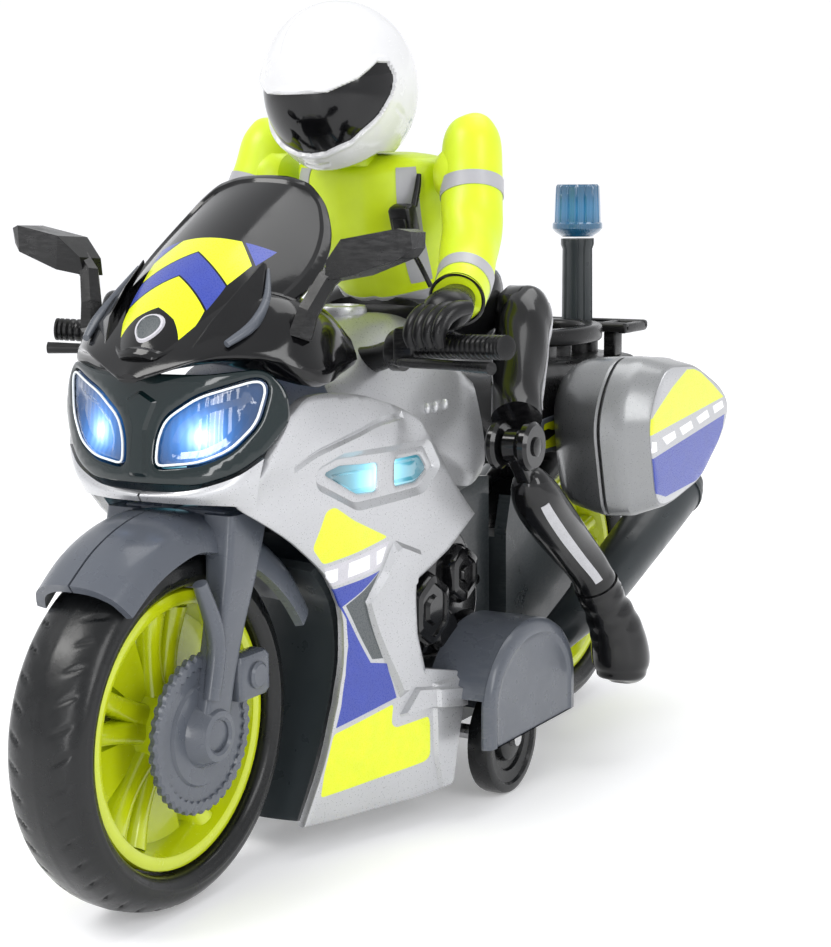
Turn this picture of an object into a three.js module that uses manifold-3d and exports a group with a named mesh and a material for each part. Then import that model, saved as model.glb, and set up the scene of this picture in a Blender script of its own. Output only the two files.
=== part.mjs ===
// Free-wheel police motorcycle toy with an articulated rider. Millimetres, +Z up, front of the bike to -Y.
import * as THREE from 'three';
import { mergeVertices } from 'three/addons/utils/BufferGeometryUtils.js';
import Module from 'manifold-3d';

const wasm = await Module();
wasm.setup();

// Driving dimensions. Lengths along Y are counted from the front axle until the whole toy is centred.
const WHEEL_R = 25;
const WHEELBASE = 120.3;
const TYRE_HALF = 6.3;
const RIM_R = 19.2;
const RIM_HALF = 4.6;
const AXLE_R = 1.5;
const RUNNING = 0.35;
const GAP = 0.35;
const WALL = 1.5;
const STABILISER = { y: 67, r: 9, inner: 16.6, outer: 20.6 };
const CORE_HALF = 7.5;
const SPOKE_PAIRS = 5;
const POLE_Y = 134;
const BUTTON_Y = 122;
const BUTTON_R = 4.2;
const SCREW_R = 1.4;
const SCREW_Y = 48.3;
const CELL = { r: 5.8, height: 5, frontY: 42.3, rearY: 54.3, z: 16 };

// ---------------------------------------------------------------- geometry helpers

function indexed(points, index) {
  const geometry = new THREE.BufferGeometry();
  geometry.setAttribute('position', new THREE.Float32BufferAttribute(points.flat(), 3));
  geometry.setIndex(index);
  return facingOut(geometry);
}

function volumeOf(geometry) {
  const position = geometry.getAttribute('position');
  const [a, b, c] = [0, 1, 2].map(() => new THREE.Vector3());
  let sum = 0;
  for (let i = 0; i < geometry.index.count; i += 3) {
    a.fromBufferAttribute(position, geometry.index.getX(i));
    b.fromBufferAttribute(position, geometry.index.getX(i + 1));
    c.fromBufferAttribute(position, geometry.index.getX(i + 2));
    sum += a.dot(b.cross(c)) / 6;
  }
  return sum;
}

function turnedOver(geometry) {
  const index = Array.from(geometry.index.array);
  for (let i = 0; i < index.length; i += 3) {
    [index[i + 1], index[i + 2]] = [index[i + 2], index[i + 1]];
  }
  geometry.setIndex(index);
  return geometry;
}

function facingOut(geometry) {
  return volumeOf(geometry) < 0 ? turnedOver(geometry) : geometry;
}

function welded(geometry) {
  const bare = new THREE.BufferGeometry();
  bare.setAttribute('position', geometry.getAttribute('position').clone());
  if (geometry.index) {
    bare.setIndex(geometry.index.clone());
  }
  return facingOut(mergeVertices(bare, 1e-3));
}

function solidOf(geometry) {
  const clean = welded(geometry);
  return new wasm.Manifold(new wasm.Mesh({
    numProp: 3,
    vertProperties: new Float32Array(clean.getAttribute('position').array),
    triVerts: new Uint32Array(clean.index.array),
  }));
}

// The largest body of a solid, as a geometry: thin slivers that a cut leaves are dropped.
function geometryOf(solid) {
  const bodies = solid.decompose().sort((a, b) => b.volume() - a.volume());
  const mesh = bodies[0].getMesh();
  const geometry = new THREE.BufferGeometry();
  geometry.setAttribute('position', new THREE.Float32BufferAttribute(Array.from(mesh.vertProperties), 3));
  geometry.setIndex(Array.from(mesh.triVerts));
  return geometry;
}

function joined(...geometries) {
  const solids = geometries.map(solidOf);
  return geometryOf(solids.reduce((sum, solid) => sum.add(solid)));
}

function cut(geometry, ...tools) {
  return geometryOf(tools.map(solidOf).reduce((rest, tool) => rest.subtract(tool), solidOf(geometry)));
}

function common(geometry, tool) {
  return geometryOf(solidOf(geometry).intersect(solidOf(tool)));
}

// Cuts each neighbour out of a piece with a gap on every side, by cutting it again a little to each side.
function clearOf(geometry, neighbours, gap = GAP) {
  const near = new THREE.Box3().setFromBufferAttribute(geometry.getAttribute('position')).expandByScalar(gap);
  let rest = solidOf(geometry);
  for (const neighbour of neighbours) {
    const box = new THREE.Box3().setFromBufferAttribute(neighbour.getAttribute('position'));
    if (!near.intersectsBox(box)) {
      continue;
    }
    const tool = solidOf(neighbour);
    for (const [x, y, z] of [[0, 0, 0], [1, 0, 0], [-1, 0, 0], [0, 1, 0], [0, -1, 0], [0, 0, 1],
      [0, 0, -1]]) {
      rest = rest.subtract(tool.translate([x * gap, y * gap, z * gap]));
    }
  }
  return geometryOf(rest);
}

function mirrored(geometry) {
  const copy = welded(geometry).clone().applyMatrix4(new THREE.Matrix4().makeScale(-1, 1, 1));
  return facingOut(copy);
}

function moved(geometry, x, y, z) {
  return geometry.clone().translate(x, y, z);
}

function box(x0, x1, y0, y1, z0, z1) {
  const geometry = new THREE.BoxGeometry(x1 - x0, y1 - y0, z1 - z0);
  return geometry.translate((x0 + x1) / 2, (y0 + y1) / 2, (z0 + z1) / 2);
}

// A closed body through rings of points, each ring with the same number of points.
function loft(rings) {
  const count = rings[0].length;
  const points = rings.flat();
  const index = [];
  for (let level = 0; level < rings.length - 1; level++) {
    for (let i = 0; i < count; i++) {
      const a = level * count + i;
      const b = level * count + (i + 1) % count;
      index.push(a, b, b + count, a, b + count, a + count);
    }
  }
  for (const [level, flip] of [[0, true], [rings.length - 1, false]]) {
    const middle = [0, 1, 2].map((axis) => rings[level].reduce((sum, p) => sum + p[axis], 0) / count);
    points.push(middle);
    for (let i = 0; i < count; i++) {
      const a = level * count + i;
      const b = level * count + (i + 1) % count;
      index.push(points.length - 1, flip ? b : a, flip ? a : b);
    }
  }
  return indexed(points, index);
}

// Rings across the bike: each section is y and half of an outline, [x, z] from top middle to bottom middle.
function hull(sections) {
  return loft(sections.map(([y, half]) => {
    const left = half.map(([x, z]) => [x, y, z]);
    const right = half.slice(1, -1).reverse().map(([x, z]) => [-x, y, z]);
    return [...left, ...right];
  }));
}

// A curved wall: rows of points on its outer face, thickened to the side that points towards the target.
function sheet(rows, thickness, towards) {
  const height = rows.length;
  const width = rows[0].length;
  const clamped = THREE.MathUtils.clamp;
  const at = (r, c) => new THREE.Vector3(...rows[clamped(r, 0, height - 1)][clamped(c, 0, width - 1)]);
  const target = new THREE.Vector3(...towards);
  const outer = [];
  const inner = [];
  for (let r = 0; r < height; r++) {
    for (let c = 0; c < width; c++) {
      const along = at(r, c + 1).sub(at(r, c - 1));
      const across = at(r + 1, c).sub(at(r - 1, c));
      const normal = along.cross(across).normalize();
      const here = at(r, c);
      if (normal.dot(target.clone().sub(here)) < 0) {
        normal.negate();
      }
      outer.push(here.toArray());
      inner.push(here.addScaledVector(normal, thickness).toArray());
    }
  }
  const index = [];
  const back = height * width;
  const quad = (a, b, c, d) => index.push(a, b, c, a, c, d);
  for (let r = 0; r < height - 1; r++) {
    for (let c = 0; c < width - 1; c++) {
      const i = r * width + c;
      quad(i, i + 1, i + 1 + width, i + width);
      quad(back + i, back + i + width, back + i + 1 + width, back + i + 1);
    }
  }
  for (let c = 0; c < width - 1; c++) {
    const low = (height - 1) * width + c;
    quad(c + 1, c, back + c, back + c + 1);
    quad(low, low + 1, back + low + 1, back + low);
  }
  for (let r = 0; r < height - 1; r++) {
    const first = r * width;
    const last = first + width - 1;
    quad(first, first + width, back + first + width, back + first);
    quad(last + width, last, back + last, back + last + width);
  }
  return indexed([...outer, ...inner], index);
}

// A flat plate: an outline of [y, z] points, from x0 to x1.
function plate(outline, x0, x1, bevel = 0) {
  const shape = new THREE.Shape(outline.map(([y, z]) => new THREE.Vector2(y, z)));
  const geometry = new THREE.ExtrudeGeometry(shape, {
    depth: x1 - x0 - 2 * bevel,
    bevelEnabled: bevel > 0,
    bevelThickness: bevel,
    bevelSize: bevel,
    bevelOffset: -bevel,
    bevelSegments: 1,
  });
  const toBike = new THREE.Matrix4().makeBasis(
    new THREE.Vector3(0, 1, 0),
    new THREE.Vector3(0, 0, 1),
    new THREE.Vector3(1, 0, 0),
  );
  return welded(geometry.applyMatrix4(toBike).translate(x0 + bevel, 0, 0));
}

// A prism with an outline of [x, z] points, from y0 to y1.
function prism(outline, y0, y1) {
  const shape = new THREE.Shape(outline.map(([x, z]) => new THREE.Vector2(x, z)));
  const geometry = new THREE.ExtrudeGeometry(shape, { depth: y1 - y0, bevelEnabled: false });
  return welded(geometry.rotateX(Math.PI / 2).translate(0, y1, 0));
}

// A body turned about the X axis from a closed profile of [radius, x] points.
function turned(profile, sides = 40) {
  const closed = [...profile, profile[0]].map(([r, x]) => new THREE.Vector2(r, x));
  return welded(new THREE.LatheGeometry(closed, sides).rotateZ(-Math.PI / 2));
}

function rod(radius, x0, x1, sides = 12) {
  return turned([[0, x0], [radius, x0], [radius, x1], [0, x1]], sides);
}

function upright(radius, height, sides = 16) {
  return welded(new THREE.CylinderGeometry(radius, radius, height, sides).rotateX(Math.PI / 2));
}

// Rings of points round a path, each ring square to the path: a limb that swells and narrows.
function limb(stations, sides = 10, stretch = 1) {
  const path = stations.map(([x, y, z]) => new THREE.Vector3(x, y, z));
  return loft(stations.map(([x, y, z, radius], i) => {
    const along = path[Math.min(i + 1, path.length - 1)].clone().sub(path[Math.max(i - 1, 0)]).normalize();
    const side = new THREE.Vector3(1, 0, 0).addScaledVector(along, -along.x).normalize();
    const up = new THREE.Vector3().crossVectors(along, side);
    return Array.from({ length: sides }, (unused, k) => {
      const turn = (2 * Math.PI * k) / sides;
      const point = path[i].clone();
      point.addScaledVector(side, radius * Math.cos(turn));
      point.addScaledVector(up, radius * stretch * Math.sin(turn));
      return point.toArray();
    });
  }));
}

// ---------------------------------------------------------------- wheels

function tyre() {
  const inner = RIM_R + GAP;
  return turned([
    [inner, -5.2], [21.6, -TYRE_HALF], [23.6, -5.4], [24.7, -2.8], [WHEEL_R, 0],
    [24.7, 2.8], [23.6, 5.4], [21.6, TYRE_HALF], [inner, 5.2],
  ], 36);
}

function rim() {
  const channel = turned([
    [16.9, -RIM_HALF], [RIM_R, -RIM_HALF], [RIM_R, RIM_HALF], [16.9, RIM_HALF], [16.2, 0],
  ], 30);
  const bore = AXLE_R + RUNNING;
  const hub = turned([[bore, -3.6], [5, -3.6], [5, 3.6], [bore, 3.6]], 15);
  const spokes = [];
  for (let pair = 0; pair < SPOKE_PAIRS; pair++) {
    for (const lean of [-0.16, 0.16]) {
      const spoke = box(-2.2, 2.2, -0.9, 0.9, 3.5, 16.8).rotateX(lean);
      spokes.push(spoke.rotateX((2 * Math.PI * pair) / SPOKE_PAIRS));
    }
  }
  return joined(channel, hub, ...spokes);
}

// ---------------------------------------------------------------- front fork halves with fender

const RAKE = Math.atan2(8, 27);

function forkHalf() {
  const rows = [];
  for (let step = 0; step <= 6; step++) {
    const turn = THREE.MathUtils.degToRad(-36 + 16 * step);
    const crown = 29.6 - 2.4 * Math.max(0, -turn);
    const flank = 8.6 + 2.6 * Math.max(0, Math.sin(turn)) - 1.2 * Math.max(0, -turn);
    rows.push([[GAP / 2, crown], [flank * 0.45, crown - 0.5], [flank * 0.8, crown - 1.8],
      [flank, crown - 4.4]]
      .map(([x, r]) => [x, r * Math.sin(turn), WHEEL_R + r * Math.cos(turn)]));
  }
  const fender = sheet(rows, WALL, [0, 0, WHEEL_R]);
  const leg = loft([
    [7.2, 10.4, -3, 3, 25], [7.2, 10.4, -3.2, 3.2, 31], [7.2, 10.8, -3.4, 3.4, 42],
      [6.6, 10.4, -4.2, 4.6, 53.5],
  ].map(([x0, x1, y0, y1, z]) => {
    const y = (z - WHEEL_R) * Math.tan(RAKE);
    return [[x0, y + y0, z], [x1, y + y0, z], [x1, y + y1, z], [x0, y + y1, z]];
  }));
  const disc = turned([[0, 7], [11, 7], [11, 8], [9.6, 8.4], [0, 8.4]], 24);
  const foot = turned([[0, 7], [3.6, 7], [3.6, 10.4], [0, 10.4]], 12);
  const caliper = box(7.1, 10.2, 4.5, 12.5, 2.5, 9.5);
  const head = box(GAP / 2, 4.2, 8, 17, 50.5, 54.5);
  const half = joined(fender, leg, moved(disc, 0, 0, WHEEL_R), moved(foot, 0, 0, WHEEL_R),
    moved(caliper, 0, 0, WHEEL_R), box(GAP / 2, 9, 5.5, 13.5, 51.8, 54.2), head);
  const bore = moved(rod(AXLE_R + 0.05, 0, 9.2), 0, 0, WHEEL_R);
  const dimple = moved(rod(2.2, 9.4, 11), 0, 0, WHEEL_R);
  return cut(half, bore, dimple, box(-5, GAP / 2, -40, 60, 0, 80));
}

// ---------------------------------------------------------------- nose, cowl and screen

// The nose bulges forward in the middle and leans back towards its top.
function noseY(x, z) {
  return -1.5 + 0.0215 * x * x + 0.12 * (z - 64);
}

const MASK_OUTLINE = [
  [0, 57.8], [8.7, 58.7], [13.3, 60.3], [16.3, 62.8], [18.9, 67], [18.3, 71.2], [15.9, 74], [9, 73.2],
    [0, 71.6],
];
const LAMP_OUTLINE = [
  [2.3, 60.6], [8.7, 61.3], [12.6, 63], [15.6, 66.6], [16.6, 71.6], [15.3, 73], [8, 70.6], [3.6, 67.6],
    [2.4, 64.6],
];

function noseSheet(setBack, thickness) {
  const rows = [];
  for (let z = 56; z <= 76; z += 5) {
    const row = [];
    for (let x = -21; x <= 21; x += 4.2) {
      row.push([x, noseY(x, z) + setBack, z]);
    }
    rows.push(row);
  }
  return sheet(rows, thickness, [0, 60, 66]);
}

function grown(outline, by) {
  const middle = outline.reduce(([x, z], p) => [x + p[0] / outline.length, z + p[1] / outline.length],
    [0, 0]);
  return outline.map(([x, z]) => {
    const reach = Math.hypot(x - middle[0], z - middle[1]);
    return [x + (by * (x - middle[0])) / reach, z + (by * (z - middle[1])) / reach];
  });
}

function flipped(outline) {
  return outline.map(([x, z]) => [-x, z]).reverse();
}

function noseMask() {
  const whole = [...MASK_OUTLINE, ...flipped(MASK_OUTLINE.slice(1, -1))];
  const mask = common(noseSheet(0, 1.4), prism(whole, -10, 30));
  const hole = grown(LAMP_OUTLINE, GAP);
  return cut(mask, prism(hole, -10, 30), prism(flipped(hole), -10, 30));
}

function headlight() {
  return common(noseSheet(0.3, 1.8), prism(LAMP_OUTLINE, -10, 30));
}

function cowl() {
  const body = hull([
    [-3.6, [[0, 73.4], [0.8, 73.2], [1.6, 72.8], [1.4, 72.4], [0.8, 72.2], [0, 72.2]]],
    [0.6, [[0, 77.6], [4.5, 77.2], [8.6, 76], [9.2, 75.2], [6, 74.4], [0, 73]]],
    [6, [[0, 82.2], [7.5, 81.4], [12.6, 78.4], [15.2, 75.6], [14, 74.8], [0, 74]]],
    [12, [[0, 84.4], [10, 84], [15.5, 81.5], [18.6, 76.5], [19.2, 70.5], [0, 74]]],
    [20, [[0, 82], [10, 82], [15.2, 81], [17.6, 77], [17.4, 71], [0, 74]]],
    [27, [[0, 78], [9, 78], [13.6, 77.6], [15.8, 75.4], [15.4, 72], [0, 74]]],
  ]);
  const ear = loft([
    [[6.6, 1.6, 76.4], [9.6, 1.8, 76.2], [9.4, 4.4, 76.6]],
    [[9, 6, 84.6], [12.6, 8.4, 81.4], [11.4, 9.4, 80.6]],
    [[9.6, 13.6, 87.4], [11, 14.2, 86.8], [10.4, 14.6, 84]],
  ]);
  return joined(body, ear, mirrored(ear));
}

function windscreen() {
  const rows = [
    [3.9, 82.2, 12.6, 6.6], [9.6, 86.8, 15, 8.2], [17, 91.6, 15, 7.6],
    [24, 96, 12.6, 5.2], [29.4, 99.1, 8.6, 1.2],
  ].map(([y, z, half, back]) => [-1, -0.55, 0, 0.55, 1].map((s) => [
    s * half, y + back * s * s * 0.55, z - back * s * s * 0.62,
  ]));
  return sheet(rows, 1.3, [0, 30, 70]);
}

function mirrorArm() {
  const arm = limb([[17.4, 11, 77.5, 1.8], [18.2, 12, 81, 1.6], [20, 14, 85.2, 1.5],
    [22.5, 15, 87.4, 1.4]], 6);
  const housing = loft([
    [[20.6, 12.6, 87.6], [20.6, 17.4, 87.2], [20.2, 17.2, 84.8], [20.2, 13, 85]],
    [[23.6, 11.6, 90.6], [23.6, 18.2, 90.2], [24.6, 18, 85.6], [24.6, 12.2, 85.8]],
    [[31.6, 12.4, 92], [31.6, 18, 91.8], [31.8, 17.8, 88.2], [31.8, 12.8, 88.2]],
    [[33.2, 13.2, 91.6], [33.2, 17.2, 91.4], [33.2, 17, 89.4], [33.2, 13.6, 89.4]],
  ]);
  return joined(arm, housing);
}

// ---------------------------------------------------------------- fairing

// Outer face of the left fairing half: rows from the shoulder down to the belly, points from front to rear.
const FAIRING_ROWS = [
  [[18.2, 7.4, 67.6], [17.6, 12.5, 69.6], [16.8, 20, 69.4], [16.2, 28, 68.4], [16.2, 34, 66.9],
    [16.6, 40, 65]],
  [[17.4, 5.2, 63.6], [17.9, 11, 65.5], [17.9, 19, 66.2], [17.6, 27, 66], [17.4, 35, 65.3],
    [17.1, 42, 63.9]],
  [[16.2, 3.8, 60.2], [17.4, 9.5, 61], [18.3, 17.2, 62.5], [18.4, 25, 63.2], [18.2, 33, 63.6],
    [17.6, 43.5, 62.8]],
  [[14, 3, 57.8], [16.2, 9.5, 57.5], [17.6, 17, 59], [18.2, 26, 59.5], [18.4, 36, 59.5], [18, 48, 57.5]],
  [[12.2, 2.6, 55.8], [14.6, 8, 53.8], [17, 16, 54.5], [18.1, 26, 54.5], [18.4, 38, 54], [17.8, 54, 51.5]],
  [[13.6, 6.8, 52.8], [14.8, 11.5, 51], [16.5, 19, 50], [17.6, 28, 49.6], [18, 40, 49], [17.5, 60.3, 46.4]],
  [[14.4, 15.6, 47.3], [15.2, 19.2, 46.5], [16.4, 25, 45.4], [17.2, 33, 44.2], [17.4, 42, 43],
    [17.2, 52, 41.9]],
  [[13.8, 24.6, 39.9], [14.8, 26.8, 39.6], [15.8, 29, 39.3], [16.5, 33.5, 39], [16.8, 37.5, 38.6],
    [16.7, 41.5, 38.3]],
  [[13, 28, 30.8], [14.2, 31, 30.8], [15.3, 34.2, 30.9], [16, 37, 31], [16.4, 40, 31], [16.5, 42.2, 31]],
  [[12.1, 27.9, 24], [13.4, 31.4, 24.2], [14.8, 35.5, 24.5], [15.8, 38.5, 24.8], [16.3, 41.5, 25],
    [16.6, 44.3, 25.2]],
  [[11.7, 27.2, 20.5], [13.2, 31.8, 20.7], [15, 38, 21], [16.4, 43, 21.4], [17.4, 49, 21.8],
    [18, 55.8, 22.3]],
  [[10.5, 26, 13.5], [12.4, 31.2, 13], [14.6, 38, 12.5], [16.3, 43, 12], [17.4, 48, 11.6], [18, 53, 11.3]],
  [[8.6, 23.4, 4.9], [11, 29.6, 4.8], [13.6, 37.5, 4.8], [15.6, 42.5, 4.9], [17, 47.5, 5], [17.8, 51.7, 5]],
];
const SIDE_LIGHT_OUTLINE = [[14.5, 58.3], [20, 59.8], [44, 58.4], [46.8, 55.2], [42, 53.2], [25, 53.8]];

function fairingLeft() {
  const side = sheet(FAIRING_ROWS, WALL, [-200, 40, 30]);
  const chin = sheet([
    [[GAP / 2, -1.7, 57.4], [5, -1.3, 57.7], [8.7, -0.3, 58.3], [13.2, 1.7, 59.9], [16.2, 3.8, 62.2]],
    [[GAP / 2, -1.9, 57], [5, -1.5, 57.1], [8.7, -0.4, 57.3], [12.8, 1.4, 58.2], [15.6, 3.6, 59.4]],
    [[GAP / 2, -1.6, 56.2], [5, -1, 56.1], [8.7, 0.3, 56], [12.2, 2.4, 55.8], [14.2, 4.6, 55.4]],
  ], WALL, [0, 40, 58]);
  const window = plate(grown(SIDE_LIGHT_OUTLINE, GAP), 12, 24);
  return cut(joined(side, chin), window, box(-5, GAP / 2, -20, 60, 40, 80));
}

function sideLight() {
  const body = sheet(FAIRING_ROWS.slice(2, 6), 2.4, [-200, 40, 30]);
  return common(moved(body, -0.8, 0, 0), plate(SIDE_LIGHT_OUTLINE, 10, 24));
}

function wheelShroud() {
  const rows = [
    [6.4, 25, 24.2, 5.2], [8.2, 27.4, 27, 14], [9.8, 28.8, 29, 23], [10.8, 29, 29.4, 31],
      [11.4, 26.4, 27.6, 38.4],
    [11.8, 21.6, 24, 43.5],
  ].map(([half, edge, middle, z]) => [-1, -0.5, 0, 0.5, 1].map((s) => [
    s * half, middle + (edge - middle) * s * s, z,
  ]));
  return sheet(rows, WALL, [0, 60, 25]);
}

// ---------------------------------------------------------------- tank, seat and tail

function tankCover() {
  const body = hull([
    [25, [[0, 73.5], [5, 73.2], [10, 71.5], [12.6, 69], [12.4, 66.4], [0, 66.4]]],
    [36, [[0, 75.5], [5, 75.3], [10, 72.6], [13.2, 67.8], [13, 63], [0, 63]]],
    [46, [[0, 77.6], [5.5, 77.3], [10, 73.2], [13.4, 67], [13.8, 58], [0, 58]]],
    [56, [[0, 77.3], [6, 77], [10.5, 72], [13.2, 66.4], [14, 52], [0, 52]]],
    [64, [[0, 75], [6, 74.2], [10.5, 70], [13, 65.8], [14, 49.8], [0, 49.8]]],
    [70, [[0, 68], [5.5, 67.4], [9.5, 66.2], [12.2, 64.5], [13.2, 51], [0, 51]]],
  ]);
  const cap = moved(upright(4, 2.4), 0, 49, 77.8);
  const coreRoom = box(-CORE_HALF - GAP, CORE_HALF + GAP, 10, 90, 40, 64.4);
  const barTunnel = box(-20, 20, 36.8, 43.2, 68.6, 75);
  return cut(joined(body, cap), coreRoom, barTunnel);
}

function seatUnit() {
  const body = hull([
    [70.6, [[0, 67.6], [6, 67], [9.4, 65.4], [10.4, 62.6], [9.4, 60.6], [0, 60.6]]],
    [80, [[0, 66.8], [7, 66.4], [11, 65], [12.2, 61], [11.6, 52], [0, 52]]],
    [92, [[0, 67.6], [7.4, 67.2], [11.6, 65.6], [12.8, 60], [12.4, 51], [0, 51]]],
    [106, [[0, 66.4], [7, 66.2], [11.2, 65.4], [12.6, 61], [11.6, 52.5], [0, 52.5]]],
    [122, [[0, 65.4], [6.4, 65.2], [10.2, 64.6], [11.4, 62], [9.8, 56], [0, 56]]],
    [138, [[0, 65.2], [4.6, 65], [9.4, 64.4], [9.6, 63], [7, 60], [0, 60]]],
  ]);
  const socket = moved(upright(4, 8), 0, POLE_Y, 64.5);
  const buttonHole = moved(upright(BUTTON_R + RUNNING, 10), 0, BUTTON_Y, 66);
  return cut(joined(body, socket), buttonHole);
}

function carrier() {
  const points = [];
  for (let step = 0; step < 12; step++) {
    const turn = (2 * Math.PI * step) / 12;
    points.push(new THREE.Vector3(10.6 * Math.sin(turn), 114 - 14.6 * Math.cos(turn), 70));
  }
  const section = [[-1.7, -1.5], [1.7, -1.5], [1.7, 1.5],
    [-1.7, 1.5]].map(([x, y]) => new THREE.Vector2(x, y));
  const ring = new THREE.ExtrudeGeometry(new THREE.Shape(section), {
    steps: 20,
    bevelEnabled: false,
    extrudePath: new THREE.CatmullRomCurve3(points, true),
  });
  const rack = cut(box(-12, 12, 129.6, 139, 68, 71.2), moved(upright(3.3, 20), 0, POLE_Y, 70));
  const bridge = box(-2.4, 2.4, 127.4, 130, 68.6, 71.2);
  const posts = [-1, 1].map((side) => box(side * 8.2 - 1.2, side * 8.2 + 1.2, 131, 134, 65.6, 69));
  const stays = [-1, 1].map((side) => box(side * 7.4 - 1, side * 7.4 + 1, 104.6, 108, 67.2, 69.6));
  return joined(ring, rack, bridge, ...posts, ...stays);
}

function beaconPole() {
  const fluted = [];
  for (let step = 0; step < 24; step++) {
    const turn = (2 * Math.PI * step) / 24;
    const radius = step % 4 < 2 ? 2.9 : 2.5;
    fluted.push(new THREE.Vector2(radius * Math.cos(turn), radius * Math.sin(turn)));
  }
  return new THREE.ExtrudeGeometry(new THREE.Shape(fluted), { depth: 17.4, bevelEnabled: false });
}

function beaconLens() {
  const profile = [
    [1.9, 0], [3, 0], [4.6, 1.4], [4.6, 2.4], [4.15, 9.4], [0, 9.6], [0, 8], [2.6, 7.6], [2.6, 1], [1.9, 1],
  ];
  const closed = [...profile, profile[0]].map(([r, z]) => new THREE.Vector2(r, z));
  return welded(new THREE.LatheGeometry(closed, 20).rotateX(Math.PI / 2));
}

// ---------------------------------------------------------------- panniers and silencers

const PANNIER_OUTLINE = [
  [87.5, 57.5], [90.5, 63.8], [96, 68.2], [110, 67.2], [124, 61.6], [129.1, 57.5], [126.3, 52.2],
    [114, 44.1],
  [98.5, 41.4], [91.5, 41.6],
];

function outlineFrame(outline, share, x, dy = 0, dz = 0) {
  const middle = outline.reduce(([y, z], p) => [y + p[0] / outline.length, z + p[1] / outline.length],
    [0, 0]);
  return outline.map(([y, z]) => [
    x, middle[0] + (y - middle[0]) * share + dy, middle[1] + (z - middle[1]) * share + dz,
  ]);
}

function pannierBody() {
  return loft([
    outlineFrame(PANNIER_OUTLINE, 0.5, 13.3, 0, 2),
    outlineFrame(PANNIER_OUTLINE, 0.86, 15.5, 1.5, 0),
    outlineFrame(PANNIER_OUTLINE, 0.97, 20, 0, 0),
    outlineFrame(PANNIER_OUTLINE, 1, 25.6, -1, 0),
  ]);
}

function pannierLid() {
  return loft([
    outlineFrame(PANNIER_OUTLINE, 1, 25.6 + GAP, -1, 0),
    outlineFrame(PANNIER_OUTLINE, 0.985, 29.5, 0, 0),
    outlineFrame(PANNIER_OUTLINE, 0.9, 33, 1.5, 0),
  ]);
}

function silencer() {
  return limb([
    [15, 84, 17, 2.6], [16.4, 92, 20.5, 3.4], [17.6, 104, 25, 4.6], [18, 138, 38, 5.2], [18, 143, 40, 4.6],
  ], 12, 0.9);
}

// ---------------------------------------------------------------- engine, guards, chassis, swing arm

function engineCover() {
  const block = plate([
    [44.4, 27.5], [43.8, 37.5], [50, 40.6], [56, 45], [61, 46.2], [68, 40], [71.5, 31], [69, 22.5],
    [56, 23.4], [48.5, 25.2],
  ], CORE_HALF + GAP, 12.4, 0.8);
  const hexagon = (y, z, r) => Array.from({ length: 6 }, (unused, k) => [
    y + r * Math.cos((Math.PI * k) / 3 + 0.5), z + r * Math.sin((Math.PI * k) / 3 + 0.5),
  ]);
  return joined(block, plate(hexagon(51.5, 32.5, 6), 11, 15, 0.7), plate(hexagon(63, 36, 4.8), 11,
    14.4, 0.7));
}

function guardOutline(inset) {
  const points = [[51.7 + inset, 11.2], [51.7 + inset, 17]];
  for (let step = 1; step < 8; step++) {
    const turn = Math.PI * (1 - step / 8);
    points.push([67.1 + (15.4 - inset) * Math.cos(turn), 17 + (11.8 - inset) * Math.sin(turn)]);
  }
  points.push([82.5 - inset, 17], [82.5 - inset, 11.2]);
  return points;
}

function wheelGuard() {
  const low = 11.2 - 3;
  const inner = guardOutline(WALL).map(([y, z]) => [y, z < 11.3 ? low : z]);
  const shell = cut(plate(guardOutline(0), CORE_HALF + GAP, 24.3), plate(inner, CORE_HALF - 2, 22.6));
  return cut(shell, box(0, 18.5, 40, 57.2, 0, 40), box(0, 12.8, 57, 71.9, 18, 40));
}

function chassis() {
  const core = plate([
    [33.5, 8.5], [33.5, 46], [19, 55.5], [19, 64], [66, 60], [70, 60], [70, 50], [83.5, 48.5], [83.5, 8.5],
  ], -CORE_HALF, CORE_HALF);
  const axleHole = moved(rod(1.2 + RUNNING, -30, 30), 0, STABILISER.y, STABILISER.r);
  const batteryBay = box(-6.2, 6.2, 36.2, 60.6, 0, 21.5);
  const speakerBay = box(-5.8, 5.8, 50, 72, 26, 50);
  const speakerMouth = box(-9, 9, 74.5, 80, 16, 24);
  const headSlot = box(-20, 20, 5, 22.5, 40, 57.5);
  return cut(core, axleHole, batteryBay, speakerBay, speakerMouth, headSlot);
}

function swingArm() {
  const outline = [[84.2, 22], [80, 39], [86, 45], [93, 40], [104, 32], [123, 28.5], [124, 22],
    [118, 20], [92, 19]];
  const arm = plate(outline.map(([y, z]) => [Math.max(y, 84.2), z]), 8.2, 10.4);
  const bridge = box(-9, 9, 84.2, 91.5, 25, 38);
  const bore = moved(rod(AXLE_R + 0.05, -12, 12), 0, WHEELBASE, WHEEL_R);
  return cut(joined(arm, mirrored(arm), bridge), bore);
}

// ---------------------------------------------------------------- controls and electrics

function handlebar() {
  const left = [
    limb([[0, 40, 71.5, 2], [10, 40, 71.8, 2], [15, 39.5, 73.2, 1.9], [21, 36.5, 74.6, 1.7],
      [39, 29, 75.6, 1.7]], 8),
    plate([[-1.2, -0.7], [1.2, -0.7], [1.2, 0.7], [-1.2, 0.7]],
      0, 24).rotateZ(-0.42).translate(17, 35.6, 72.6),
    box(17.5, 21.5, 34.5, 39, 72, 77.5),
  ];
  const half = joined(...left);
  return joined(half, mirrored(half));
}

// ---------------------------------------------------------------- rider

const SHOULDER = { y: 57, z: 98.6 };
const HIP = { y: 79, z: 76.5 };
const KNEE = { y: 60.5, z: 57.5 };
const NECK_Y = 54.5;
const HEAD = { y: 50, z: 111.6 };
const LIFT_LEAN = THREE.MathUtils.degToRad(20);

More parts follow.
